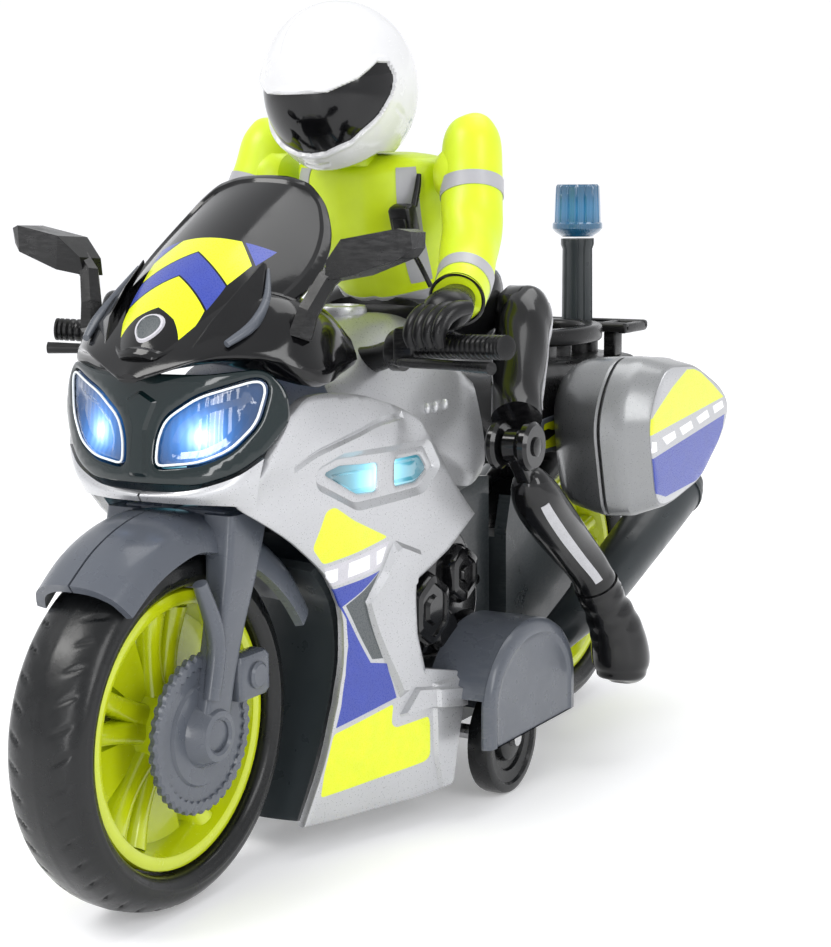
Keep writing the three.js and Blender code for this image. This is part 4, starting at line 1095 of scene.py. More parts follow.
for ear in both("cowl_ear", ear_verts, ear_faces, "motorcycle", GLOSS_BLACK, angle=20):
    soften(ear, 0.35, 3)
# A thin grey bead along each cowl ear stands for the highlight on the glossy black cowl side: painted
# highlight.
ear_highlight_bead = limb([[11.6, 2.4, 77.2, 0.5], [12.9, 6.6, 79.4, 0.75], [12.6, 10.4, 82.4, 0.6],
    [10.9, 13.6, 86.4, 0.2]], 10, 6)
both("cowl_ear_highlight_bead", *tube(ear_highlight_bead), "motorcycle", GREY)

SCREEN_ROWS = np.array([
    (-3.6, 74.0, 1.6, 0.4), (-0.4, 78.2, 6.4, 3.0), (3.9, 82.5, 11, 5.6), (9.6, 87.0, 14.4, 7.8),
    (17, 91.7, 15, 7.6),
    (24, 96, 12.6, 5.2), (29.4, 99.1, 8.6, 1.2),
])
row_length = np.concatenate([[0], np.cumsum(np.hypot(*np.diff(SCREEN_ROWS[:, :2], axis=0).T))])
row_length -= row_length[2]
fine_rows = spline(np.column_stack([SCREEN_ROWS, row_length]), 16)


def screen_surface(flat):
    """The screen from the share of its half width (times 15) and the length up its middle."""
    y, z, half, back = (np.interp(flat[:, 1], fine_rows[:, 4], fine_rows[:, k]) for k in range(4))
    share = flat[:, 0] / 15
    return np.stack([share * half, y + back * share ** 2 * 0.55, z - back * share ** 2 * 0.62], 1)


SCREEN_OUTLINE = [
    [-12, -9.4], [12, -9.4], [15, -5], [15.2, 4], [15.2, 16], [15.2, 22], [14.6, 27], [12.6, 29.4],
    [7, 30.3], [-7, 30.3],
    [-12.6, 29.4], [-14.6, 27], [-15.2, 22], [-15.2, 16], [-15.2, 4], [-15, -5],
]
screen_edge = rounded(SCREEN_OUTLINE, 1.2)
screen = Relief(screen_edge, 0.9, 0.35)
screen.area(inset(screen_edge, 1.2), -0.35, 0.5)
screen.area([[-8.6, 0.1], [0, 5.2], [8.6, 0.1], [11.2, -4.9], [10.4, -5.3], [5.2, -2.6], [0, -0.9],
    [-5.2, -2.6],
             [-10.4, -5.3], [-11.2, -4.9]], mark=1)
screen.area([[-7.8, 5.1], [0, 10.6], [7.8, 5.1], [8.8, 0.3], [0, 5.5], [-8.8, 0.3]], mark=2)
screen.area([[-8.4, 10.2], [-5, 14.2], [5, 14.2], [8.4, 10.2], [7.8, 5.4], [0, 10.9], [-7.8, 5.4]], mark=1)
screen.area([[5.5, 14.2], [9.8, 14.3], [8.8, 10.4]], mark=2)
screen.area([[-5.5, 14.2], [-9.8, 14.3], [-8.8, 10.4]], mark=2)
emblem = [[0.3 + 4.3 * math.cos(t), -4.6 + 2.5 * math.sin(t)] for t in np.arange(24) * math.pi / 12]
screen.area(emblem, 0.3, 0.3, mark=3)
screen.area([[0.3 + 3.4 * math.cos(t), -4.6 + 2.0 * math.sin(t)] for t in np.arange(24) * math.pi / 12],
    -0.15, 0.2, mark=4)
screen_verts, screen_faces, screen_marks = screen.build(screen_surface, 1.1, 0.8)
piece("windscreen_moulding", screen_verts, screen_faces, "motorcycle",
      [GLOSS_BLACK, YELLOW_INK, BLUE_INK, PALE_INK, DARK_INK], screen_marks, replaces=["windscreen"],
      slot="gloss_black", angle=26)

# ---------------------------------------------------------------- fork halves

RAKE = math.atan2(8, 27)


def fender_row(turn):
    crown = 29.7 - 2.2 * max(0, -turn)
    flank = 8.7 + 2.6 * max(0, math.sin(turn)) - 1.4 * max(0, -turn)
    section = [(0.18, crown), (flank * 0.3, crown - 0.15), (flank * 0.56, crown - 0.7),
        (flank * 0.8, crown - 1.9),
               (flank * 0.93, crown - 3.6), (flank, crown - 5.0 - 1.6 * max(0, math.sin(turn * 2)))]
    return [[x, r * math.sin(turn), WHEEL_R + r * math.cos(turn)] for x, r in section]


fender_rows = [fender_row(math.radians(t)) for t in np.linspace(-37, 62, 9)]
leg_rings = []
for x0, x1, y0, y1, z in ((7.2, 10.2, -2.4, 2.4, 22.4), (7.1, 10.5, -3.2, 3.2, 25), (7.2, 10.4, -3, 3, 31),
                          (7.2, 10.7, -3, 3, 38), (6.8, 10.9, -3.6, 4, 46), (5.6, 10.6, -4.4, 5, 54)):
    y = (z - WHEEL_R) * math.tan(RAKE)
    leg_rings.append([[px, py, z] for px, py in rounded([[x0, y + y0], [x1, y + y0], [x1, y + y1],
        [x0, y + y1]], 1.1)])
disc_profile = [(2.2, 7), (10.6, 7), (11, 7.3), (11, 8), (10.6, 8.35), (9.4, 8.4), (9.1, 8.1),
    (7.2, 8.1), (6.9, 8.5),
                (4.6, 8.5), (4.2, 9.4), (3.4, 10.9), (2.6, 11), (2.2, 10.7)]
disc_verts, disc_faces = lathe(disc_profile, 160, (0, 0, WHEEL_R))
disc_grid = np.array(disc_verts).reshape(160, len(disc_profile), 3)
for k in range(160):
    if k % 4 < 2:
        disc_grid[k, 1:6, 1:] = [0, WHEEL_R] + (disc_grid[k, 1:6, 1:] - [0, WHEEL_R]) * 0.965
caliper = rounded_box(7.2, 10.8, 5.2, 12.6, 28, 34.6, 1.0)
caliper_cap = lathe([(0, 10.4), (1.9, 10.4), (1.9, 11.2), (1.5, 11.5), (0, 11.5)], 32, (0, 9, 31.4),
    closed=False)
fork_parts = merged(
    thick(dense(fender_rows, 6, 4), 1.3, (0, 0, WHEEL_R)), swept(leg_rings, 5, 1),
    (disc_grid.reshape(-1, 3), disc_faces),
    caliper, caliper_cap, rounded_box(0.2, 8.6, 5.6, 14, 51.6, 54.4, 0.6),
    tube(limb([[9.6, -2, 46, 1.0], [9.9, 1, 38, 1.3], [9.9, -0.5, 30, 1.2]], 16, 6)),
)
both("fork_moulding", *fork_parts[:2], "fork", GREY, replaces=["fork_{}"], slot="grey_plastic", angle=30)

# ---------------------------------------------------------------- panniers

PANNIER_OUTLINE = np.array([
    [87.5, 57.5], [90.5, 63.8], [96, 68.2], [110, 67.2], [124, 61.6], [129.1, 57.5], [126.3, 52.2],
    [114, 44.1],
    [98.5, 41.4], [91.5, 41.6],
])


def pannier_ring(share, x, dy=0.0, dz=0.0):
    middle = PANNIER_OUTLINE.mean(0)
    shrunk = middle + (PANNIER_OUTLINE - middle) * share + [dy, dz]
    return [[x, y, z] for y, z in along(rounded(shrunk, 3.5, 5), 30)]


body_rings = [pannier_ring(*r) for r in (
    (0.45, 13.3, 0, 2), (0.6, 13.6, 0.3, 1.5), (0.84, 15.5, 1.2, 0), (0.93, 18, 0.5, 0),
    (0.98, 22, 0, 0), (1, 25.2, -1, 0),
    (0.99, 25.6, -1, 0),
)]
lid_rings = [pannier_ring(*r) for r in (
    (0.985, 25.95, -1, 0), (1, 26.3, -1, 0), (0.995, 28, -0.4, 0), (0.985, 29.4, 0, 0), (0.965, 30.0, 0.2, 0),
    (0.9, 32.6, 1.4, 0), (0.88, 33, 1.5, 0),
)]
both("pannier_moulding", *tube(body_rings), "motorcycle", SILVER_DARK, replaces=["pannier_body_{}"],
    slot="silver_paint",
     angle=35)
both("pannier_lid_moulding", *tube(lid_rings), "motorcycle", SILVER_DARK, replaces=["pannier_lid_{}"],
     slot="silver_paint", angle=22)
face_outline = PANNIER_OUTLINE.mean(0) + (PANNIER_OUTLINE - PANNIER_OUTLINE.mean(0)) * 0.86 + [1.5, 0]
decal = Relief(rounded(face_outline, 3), 1.2, 0.2)
decal.area([[92.1, 55.7], [91.5, 57.9], [94.7, 59.7], [101.1, 62.9], [107.4, 65.3], [110.6, 65.1],
    [113.6, 64.3],
            [119.7, 61.5], [124.7, 58.9]], mark=1)
for square in (
    [[92.6, 54.6], [94.5, 54.4], [94.8, 52.8], [92.7, 52.7]],
    [[96.9, 54.8], [102.2, 55.4], [103, 54.1], [98.9, 53.4]],
    [[104.4, 55.6], [109.5, 56.3], [110.6, 54.9], [105.9, 54.2]],
    [[111.9, 56.5], [116.9, 57.4], [118.1, 56], [113.4, 55.3]],
    [[119.6, 57.7], [124.1, 58.3], [124.9, 57.0], [120.6, 56.3]],
):
    decal.area(square, mark=3)
decal.area([[92.7, 51.7], [125.4, 55.7], [124.6, 53.4], [121.3, 50.1], [116.5, 46.8], [112.3, 45.5],
    [98.6, 44.6],
            [94.5, 45.7]], mark=2)
decal_verts, decal_faces, decal_marks = decal.build(
    lambda flat: np.stack([np.full(len(flat), 33.22), flat[:, 0], flat[:, 1]], 1), 0.4, 1.6
)
both("pannier_face", decal_verts, decal_faces, "motorcycle",
    [PALE_SILVER, YELLOW_INK, BLUE_INK, WHITE_INK], decal_marks)

# ---------------------------------------------------------------- tank, seat, carrier and beacon

TANK = [
    [25, [[0, 73.5], [5, 73.2], [10, 71.5], [12.6, 69], [12.4, 66.6], [0, 66.4]]],
    [36, [[0, 75.5], [5, 75.3], [10, 72.6], [13.2, 67.8], [13, 63.2], [0, 63]]],
    [46, [[0, 77.6], [5.5, 77.3], [10, 73.2], [13.4, 67], [13.8, 58.2], [0, 58]]],
    [56, [[0, 77.3], [6, 77], [10.5, 72], [13.2, 66.4], [14, 52.2], [0, 52]]],
    [64, [[0, 75], [6, 74.2], [10.5, 70], [13, 65.8], [14, 50], [0, 49.8]]],
    [70, [[0, 68], [5.5, 67.4], [9.5, 66.2], [12.2, 64.5], [13.2, 51.2], [0, 51]]],
]


def smooth_hull(sections, around=5, along_each=6):
    rings = np.array([spline(ring, around, True) for ring in across(sections)])
    return tube(spline(rings.reshape(len(sections), -1), along_each).reshape(-1, rings.shape[1], 3))


tank_extras = [
    lathe([(0, 77.0), (4, 77.0), (4.2, 78.4), (3.9, 79), (3, 79.1), (2.8, 78.8), (0, 78.8)], 40,
    (0, 49, 0), "Z", False),
]
for y, z in ((50.8, 63.6), (53.4, 63.6), (56.4, 63.7)):
    tank_extras.append(tube(limb([[13.4, y, z - 0.6, 0.5], [14.1, y, z, 0.75],
        [14.0, y + 0.3, z + 0.7, 0.4]], 12, 4)))
tank_extras += [mirror(p) for p in tank_extras[1:]]
tank_parts = merged(smooth_hull(TANK), *tank_extras)
piece("tank_moulding", *tank_parts[:2], "motorcycle", SILVER, replaces=["tank_cover"],
    slot="silver_paint", angle=36)

SEAT = [
    [70.6, [[0, 67.6], [6, 67], [9.4, 65.4], [10.4, 62.6], [9.4, 60.8], [0, 60.6]]],
    [80, [[0, 66.8], [7, 66.4], [11, 65], [12.2, 61], [11.6, 52.2], [0, 52]]],
    [92, [[0, 67.6], [7.4, 67.2], [11.6, 65.6], [12.8, 60], [12.4, 51.2], [0, 51]]],
    [106, [[0, 66.4], [7, 66.2], [11.2, 65.4], [12.6, 61], [11.6, 52.7], [0, 52.5]]],
    [122, [[0, 65.4], [6.4, 65.2], [10.2, 64.6], [11.4, 62], [9.8, 56.2], [0, 56]]],
    [138, [[0, 65.2], [4.6, 65], [9.4, 64.4], [9.6, 63], [7, 60.2], [0, 60]]],
]
seat_parts = merged(
    smooth_hull(SEAT), lathe([(3.2, 64), (4, 64), (4, 68.3), (3.7, 68.6), (3.2, 68.6)], 40,
    (0, POLE_Y, 0), "Z"),
)
piece("seat_moulding", *seat_parts[:2], "motorcycle", SATIN_BLACK, replaces=["seat"], slot="gloss_black",
    angle=36)
for side, word in ((1, "left"), (-1, "right")):
    tail_patch = Relief(rounded([[91.7, 57.3], [102.3, 57.9], [105.2, 55.8], [98.6, 51.4], [91, 51.4]],
        0.8), 1.2, 0.25)
    tail_patch.area(rounded([[92.6, 56.5], [102, 57], [103.6, 55.8], [98, 52.2], [92.2, 52.2]], 0.6), mark=1)
    patch_verts, patch_faces, patch_marks = tail_patch.build(
        lambda flat: np.stack([np.full(len(flat), 13.4), flat[:, 0], flat[:, 1]], 1), 0.9, 1.5
    )
    piece(f"tail_patch_{word}", patch_verts, patch_faces, "motorcycle", [GREY, YELLOW_INK], patch_marks,
        side=side)

ring_path = [[10.6 * math.sin(t), 114 - 14.6 * math.cos(t), 70] for t in np.arange(72) * 2 * math.pi / 72]
ring_path = np.array(ring_path)
tangent = np.roll(ring_path, -1, 0) - np.roll(ring_path, 1, 0)
tangent /= np.linalg.norm(tangent, axis=1)[:, None]
out = np.cross(tangent, [0, 0, 1])
profile = rounded([[-1.7, -1.5], [1.7, -1.5], [1.7, 1.5], [-1.7, 1.5]], 0.9, 3)
ring_grid = ring_path[:, None] + out[:, None] * profile[None, :,
    :1] + np.array([0, 0, 1.0]) * profile[None, :, 1:]
ring_faces = hoop_faces(72, len(profile))
rack_bars = [rounded_box(-12, 12, y, y + 1.8, 69.2, 71, 0.5) for y in (129.4, 138.2)]
rack_bars += [rounded_box(x, x + 1.8, 129.6, 139.8, 69, 70.8, 0.5) for x in (-12, -7, 5.2, 10.2)]
carrier_parts = merged(
    (ring_grid.reshape(-1, 3), ring_faces), *rack_bars, rounded_box(-2.4, 2.4, 127, 130, 68.6, 71.2, 0.5),
    *[rounded_box(s * 8.2 - 1.2, s * 8.2 + 1.2, 130.6, 134, 64.6, 69.6, 0.4) for s in (-1, 1)],
    *[rounded_box(s * 7.4 - 1, s * 7.4 + 1, 104.4, 108, 65.6, 69.6, 0.4) for s in (-1, 1)],
)
piece("carrier_moulding", *carrier_parts[:2], "motorcycle", SATIN_BLACK, replaces=["carrier"],
    slot="gloss_black")

pole_rings = []
for z, r in ((68.9, 2.9), (69.4, 3.0), (70.2, 2.9), (77, 2.85), (84.4, 2.8), (85.2, 3.1), (86.3, 3.1)):
    pole_rings.append([
        [(r - (0.32 if k % 16 < 7 else 0)) * math.cos(k * math.pi / 48),
         POLE_Y + (r - (0.32 if k % 16 < 7 else 0)) * math.sin(k * math.pi / 48), z] for k in range(96)
    ])
piece("beacon_pole_moulding", *tube(pole_rings), "motorcycle", DARK_GREY, replaces=["beacon_pole"],
      slot="dark_grey_plastic", angle=40)
lens_profile = [(0, 86.7), (3.0, 86.7), (4.3, 87.6), (4.7, 88.2), (4.7, 89.1), (4.35, 89.4), (4.2, 94),
    (4.1, 96),
                (3.8, 96.4), (0, 96.6)]
beacon_verts, beacon_faces = lathe(lens_profile, 96, (0, POLE_Y, 0), "Z", False)
beacon_grid = np.array(beacon_verts).reshape(96, len(lens_profile), 3)
for k in range(0, 96, 6):
    beacon_grid[k, 5:8, :2] = [0, POLE_Y] + (beacon_grid[k, 5:8, :2] - [0, POLE_Y]) * 0.94
piece("beacon_lens_moulding", beacon_grid.reshape(-1, 3), beacon_faces, "motorcycle", BEACON,
    replaces=["beacon_lens"],
      slot="blue_lens", angle=30)
button = lathe([(0, 63.6), (4.2, 63.6), (4.2, 67.8), (3.9, 68.4), (3.2, 68.7), (2.6, 68.5), (0, 68.3)],
    48, (0, BUTTON_Y, 0), "Z",
               False)
piece("push_button_cap", *button, "push_button", SATIN_BLACK, replaces=["push_button"], slot="gloss_black")

# ---------------------------------------------------------------- rider: helmet and visor

HEAD = np.array([0, 50, 111.6])
HEAD_RADII = np.array([11.2, 13.6, 13.0])
VISOR_LOW = [(0, -50.6), (20, -48.5), (46, -38.4), (67, -20), (77, -5), (81, 6)]
VISOR_HIGH = [(0, -5.8), (27, -4.9), (51, 4.6), (66, 15.6), (75, 15.5), (81, 6)]
VISOR_TURN = 80.0


def head_point(turn, rise, scale=1.0):
    t, r = np.radians(turn), np.radians(rise)
    unit = np.stack([np.cos(r) * np.sin(t), -np.cos(r) * np.cos(t), np.sin(r)], -1)
    return HEAD + unit * HEAD_RADII * np.asarray(scale)[..., None]


def visor_depth(turn, rise):
    """Degrees inside the visor opening, negative outside."""
    low = np.interp(np.abs(turn), *zip(*VISOR_LOW))
    high = np.interp(np.abs(turn), *zip(*VISOR_HIGH))
    return np.minimum.reduce([rise - low, high - rise, (VISOR_TURN - np.abs(turn)) * 0.9])


turns, rises = np.meshgrid(np.arange(-180, 180, 1.5), np.linspace(-88, 88, 150))
deep = visor_depth(turns, rises)
scale = 1 - 0.125 * smooth_step((deep + 0.4) / 1.6) + 0.016 * np.exp(-(((deep + 2.4) / 1.5) ** 2))
for line in ([[16, 22], [22, 44], [28, 66]], [[-16, 22], [-22, 44], [-28, 66]],
    [[-20, -60], [0, -63], [20, -60]],
             [[84, -14], [100, -22], [122, -26]], [[-84, -14], [-100, -22], [-122, -26]]):
    away = distance(np.stack([turns.ravel(), rises.ravel()], 1), line, False).reshape(turns.shape)
    scale -= 0.014 * smooth_step(1 - away / 3.0)
helmet = head_point(turns, rises, scale)
collar = np.interp(helmet[..., 1], [44, 48.5], [98.2, 102.1])
helmet[..., 2] = np.maximum(helmet[..., 2], collar)
piece("helmet_shell", *tube(helmet), "head", WHITE, replaces=["helmet"], slot="white_plastic", angle=40)
u = np.linspace(-VISOR_TURN - 0.5, VISOR_TURN + 0.5, 120)
low = np.interp(np.abs(u), *zip(*VISOR_LOW)) - 2.5
high = np.interp(np.abs(u), *zip(*VISOR_HIGH)) + 2.5
share = np.linspace(0, 1, 30)[:, None]
visor_rise = low + (high - low) * share
front = head_point(np.broadcast_to(u, visor_rise.shape), visor_rise, np.full(visor_rise.shape, 0.965))
rear = head_point(np.broadcast_to(u, visor_rise.shape), visor_rise, np.full(visor_rise.shape, 0.885))
piece("visor_glass", *shell(front, rear), "head", GLOSS_BLACK, replaces=["visor"], slot="gloss_black",
    angle=40)

# ---------------------------------------------------------------- rider: jacket, arms and gloves

TORSO = [
    (70.4, 81.0, 9.6, 8.8, 0.42), (70, 82, 10.4, 9.6, 0.42), (67.5, 86, 11.6, 10.8, 0.45),
    (64, 91, 12.9, 11, 0.42),
    (61.5, 96, 13.1, 9.6, 0.3), (59.6, 99.6, 12.9, 7.4, 0.15), (58.8, 101.2, 11.8, 5.2, 0.1),
    (58.2, 101.9, 8.4, 3.4, 0.1),
]


def torso_ring(y, z, wide, deep, lean):
    turn = 2 * math.pi * np.arange(96) / 96
    side = wide * np.sign(np.cos(turn)) * np.abs(np.cos(turn)) ** 0.75
    depth = deep * np.sin(turn)
    return np.stack([side, y + depth * math.cos(lean), z + depth * math.sin(lean)], 1)


torso = np.array([torso_ring(*station) for station in TORSO])
torso = spline(torso.reshape(len(TORSO), -1), 8).reshape(-1, 96, 3)
level = np.linspace(0, 1, len(torso))[:, None]
turn = 2 * math.pi * np.arange(96)[None, :] / 96
folds = 0.34 * np.sin(turn * 5 + level * 16) * np.exp(-(((level - 0.26) / 0.14) ** 2))
folds += 0.22 * np.sin(turn * 4 - level * 22) * np.exp(-(((level - 0.55) / 0.2) ** 2))
folds -= 0.3 * np.exp(-(((turn - 1.5 * math.pi) / 0.045) ** 2)) * (level < 0.8)
torso = torso + outward(torso) * folds[..., None]
torso_parts = [
    tube(torso), lathe([(0, 100), (3.2, 100), (3.2, 104), (0, 104)], 40, (0, 54.5, 0), "Z", False),
]
bands = [cuff(torso, 9, 14, 0.16)]
bands += [patch(torso, (16, 44), columns, 0.16) for columns in ((80, 86), (59, 65))]
radio = [
    rounded_box(-1.9, 1.9, -1.3, 1.3, -3.6, 3.4, 0.6, ("X", 0.35), (10.2, 51.6, 91.0)),
    rounded_box(-1.2, 1.2, -1.7, -1.1, -0.6, 1.8, 0.3, ("X", 0.35), (10.2, 51.6, 91.0)),
    tube(limb([[11.2, 52.6, 94, 0.55], [11.3, 53.6, 97, 0.5], [11.3, 54, 98.8, 0.35]], 12, 4)),
    tube(limb([[10.2, 51.6, 89, 0.4], [12.4, 51.8, 85.6, 0.4], [13.4, 53.6, 82, 0.4]], 10, 5)),
]
jacket_verts, jacket_faces, jacket_marks = merged(
    *[(v, f, [0] * len(f)) for v, f in torso_parts], *[(v, f, [1] * len(f)) for v, f in bands],
    *[(v, f, [2] * len(f)) for v, f in radio],
)
piece("rider_jacket", jacket_verts, jacket_faces, "rider", [HI_VIS, BAND, SATIN_BLACK], jacket_marks,
      replaces=["rider_torso"], slot="hi_vis", angle=40)
BELT = [
    [59.5, [[0, 80], [5, 79.6], [8, 78.8], [8, 78.4], [5, 78.2], [0, 78.2]]],
    [64, [[0, 79.9], [7, 79.5], [10.6, 78], [10.6, 75], [6, 71.8], [0, 70.6]]],
    [72, [[0, 81], [7.6, 80.6], [12.2, 78.8], [12.2, 72.6], [7, 69.6], [0, 68.8]]],
    [79, [[0, 84.4], [7, 84], [11.8, 82], [12, 74], [7, 69.6], [0, 68.8]]],
    [85.5, [[0, 84.6], [5, 84], [8.8, 81.6], [9, 75], [5.6, 71.4], [0, 70.4]]],
]
piece("rider_trousers", *smooth_hull(BELT), "rider", LEG_BLACK, replaces=["rider_belt"],
    slot="black_plastic", angle=40)


def creased(t, turn, r):
    """Soft folds at the elbow and the wrist."""
    elbow = math.exp(-(((t - 0.58) / 0.13) ** 2))
    return r * (1 + 0.035 * np.sin(turn * 3 + t * 30) * elbow + 0.012 * np.sin(turn * 2 + t * 17))


SLEEVE = [
    [17.9, 58.6, 107.6, 0.6], [18.1, 58.4, 106.6, 2.8], [18.3, 57.9, 103.8, 4.3], [18.8, 56.8, 98.8, 4.7],
    [19.9, 54.8, 94, 4.6], [21.2, 52, 89.4, 4.4], [22.8, 47.6, 84.8, 4.2], [24.2, 43.6, 82.4, 4.0],
    [25.1, 40.6, 81.2, 4.0],
    [25.3, 40.0, 81, 3.6],
]
sleeve = limb(SLEEVE, 48, 8, shape=creased)
HAND = [
    [24.8, 41.6, 81.6, 2.6], [25.4, 39.4, 81.0, 2.9], [26.1, 36.8, 80.4, 3.4], [26.7, 34.6, 79.9, 3.6],
    [27.0, 33.2, 79.6, 3.0], [27.2, 32.2, 79.4, 1.6],
]
glove = [tube(limb(HAND, 32, 6, stretch=0.82))]
bar_way = np.array([18, -7.5, 1.1]) / np.linalg.norm([18, -7.5, 1.1])
bar_front = np.array([-bar_way[1], bar_way[0], 0]) * -1
for k in range(4):
    root = np.array([26.9, 32.9, 79.4]) + bar_way * (k - 1.5) * 2.15
    curl = [root + bar_front * a + np.array([0, 0, b]) for a, b in (
        (-2.2, 0.9), (0.2, 0.7), (2.2, -0.5), (3.2, -2.5), (2.9, -4.3),
    )]
    radii = (1.0, 1.25, 1.2, 1.1, 0.7)
    glove.append(tube(limb([[*p, r] for p, r in zip(curl, radii)], 20, 6)))
glove.append(cuff(limb(SLEEVE[-3:], 48, 8), 10, 16, 0.25))
shoulder_cap = lathe([(0, 13.9), (3.4, 13.9), (4.6, 15.4), (4.6, 18), (0, 18)], 48, SHOULDER, closed=False)
arm_verts, arm_faces, arm_marks = merged(
    *[(v, f, [0] * len(f)) for v, f in (tube(sleeve), shoulder_cap)],
    *[(v, f, [1] * len(f)) for v, f in (cuff(sleeve, 26, 31), cuff(sleeve, 50, 56))],
    *[(v, f, [2] * len(f)) for v, f in glove],
)
both("rider_sleeve", arm_verts, arm_faces, "{}_arm", [HI_VIS, BAND, SATIN_BLACK], arm_marks,
    replaces=["arm_{}"],
     slot="hi_vis", angle=40)

# ---------------------------------------------------------------- rider: legs

THIGH = [
    [15.6, 81.4, 79.2, 1.4], [16.2, 80.4, 78.2, 3.4], [17.2, 77.6, 75.4, 4.4], [18.4, 74, 71.6, 4.4],
    [21, 67.4, 64.8, 4.1],
    [22.8, 63.8, 61.2, 3.9],
]
thigh = limb(THIGH, 48, 8, shape=lambda t, turn, r: r * (1 + 0.02 * np.sin(turn * 4 + t * 22)))
fork_cheeks = [
    lathe([(0, x0), (3.3, x0), (3.8, x0 + 0.5), (3.8, x1 - 0.5), (3.3, x1), (0, x1)], 48, KNEE, closed=False)
    for x0, x1 in ((20.6, 22.3), (25.9, 27.8))
]
knee_pin = lathe([(0, 27.6), (1.5, 27.6), (1.5, 28.1), (1.1, 28.3), (0, 28.3)], 32, KNEE, closed=False)
hip_cap = lathe([(0, 12.9), (3.4, 12.9), (4.3, 14), (4.3, 16.6), (0, 16.6)], 48, HIP, closed=False)
thigh_verts, thigh_faces, thigh_marks = merged(
    *[(v, f, [0] * len(f)) for v, f in (tube(thigh), *fork_cheeks, knee_pin, hip_cap)],
    *[(v, f, [1] * len(f)) for v, f in (patch(thigh, (10, 38), (40, 45), 0.14),
    patch(thigh, (10, 38), (46, 48), 0.14))],
)
both("rider_thigh", thigh_verts, thigh_faces, "{}_thigh", [LEG_BLACK, LEG_STRIPE], thigh_marks,
    replaces=["thigh_{}"],
     slot="gloss_black", angle=40)


def boot_shape(t, turn, r):
    """Instep folds at the ankle and a sole line round the foot."""
    folds = 0.05 * np.sin(t * 120) * math.exp(-(((t - 0.60) / 0.07) ** 2))
    sole = -0.05 * math.exp(-(((t - 0.86) / 0.02) ** 2))
    return r * (1 + folds + sole)


SHIN = [
    [24.1, 64.6, 52.6, 1.4], [24.1, 65.6, 51.4, 2.8], [24, 68.2, 48.4, 3.9], [23.8, 74, 43.8, 4.1],
    [24, 80.4, 38.8, 3.8],
    [25, 85.6, 33.8, 3.5], [26.2, 89.0, 28, 3.7], [27.4, 91.6, 22.5, 4.5], [27.9, 92.6, 17.6, 4.9],
    [28, 92.6, 14.4, 4.0],
    [28, 92.4, 13.2, 1.6],
]
shin = limb(SHIN, 48, 8, shape=boot_shape)
tongue = lathe([(0, 22.75), (2.2, 22.75), (2.5, 23.1), (2.5, 25.1), (2.2, 25.45), (0, 25.45)], 48, KNEE,
    closed=False)
neck = rounded_box(22.8, 25.4, -1.8, 1.8, -9, 0, 0.5, ("X", 0.7), (0, 60.5, 57.5))
boot_top = cuff(shin, 44, 47, 0.3)
shin_parts = merged(tube(shin), tongue, neck, boot_top)
shin_verts, shin_faces, shin_marks = merged(
    (shin_parts[0], shin_parts[1], [0] * len(shin_parts[1])),
    *[(v, f, [1] * len(f)) for v, f in (patch(shin, (14, 42), (4, 8), 0.14),)],
)
both("rider_boot", shin_verts, shin_faces, "{}_shin", [LEG_BLACK, LEG_STRIPE], shin_marks,
    replaces=["shin_{}"],
     slot="gloss_black", angle=40)

# ---------------------------------------------------------------- handlebar

bar = [
    tube(limb([[0, 40, 71.5, 2], [10, 40, 71.8, 2], [15, 39.5, 73.2, 1.9], [21, 36.5, 74.6, 1.5]], 24, 8)),
    tube(limb([[15.6, 37.0, 72.3, 0.5], [20, 34.6, 72.4, 0.8], [30, 29.6, 72.8, 0.7],
    [38.2, 26.0, 73.0, 0.9]], 16, 6)),
    rounded_box(17.6, 21.3, 34.6, 39, 72, 77.3, 0.7),
    lathe([(0, 15.4), (2.7, 15.4), (3, 15.8), (3, 17.4), (0, 17.4)], 32, (0, 38.6, 73.6), closed=False),
]
grip_path = spline([[20.6, 36.7, 74.5], [30, 32.7, 75.1], [39, 29, 75.6]], 40)
grip_t, grip_side, grip_up = frame_along(grip_path, (0, 0, 1))
grip_rings = []
for k, point in enumerate(grip_path):
    radius = 1.72 - (0.2 if k % 4 == 0 else 0)
    radius = 2.1 if k in (1, 2, 3) else radius * (0.8 if k in (0, len(grip_path) - 1) else 1)
    turns24 = 2 * math.pi * np.arange(24) / 24
    grip_rings.append(
        point + grip_side[k] * (radius * np.cos(turns24))[:,
        None] + grip_up[k] * (radius * np.sin(turns24))[:, None]
    )
bar.append(tube(grip_rings))
bar_parts = merged(*bar, *[mirror(part) for part in bar[1:]], mirror(bar[0]))
piece("handlebar_moulding", *bar_parts[:2], "motorcycle", SATIN_BLACK, replaces=["handlebar"],
    slot="black_plastic")

# ---------------------------------------------------------------- engine, shroud, guards, silencers

ENGINE = rounded([
    [44.4, 27.5], [43.8, 37.5], [50, 40.6], [56, 45], [61, 46.2], [68, 40], [71.5, 31], [69, 22.5],
    [56, 23.4],
    [48.5, 25.2],
], 2.0)


def boss(y, z, radii, sides=6, spin=0.5):
    """A raised cover: rings of [radius, x] with the given number of sides."""
    rings = []
    for radius, x in radii:
        corners = [[y + radius * math.cos(2 * math.pi * k / sides + spin),
            z + radius * math.sin(2 * math.pi * k / sides + spin)]
                   for k in range(sides)]
        rings.append([[x, a, b] for a, b in rounded(corners, radius * 0.18, 3)])
    return tube(rings)


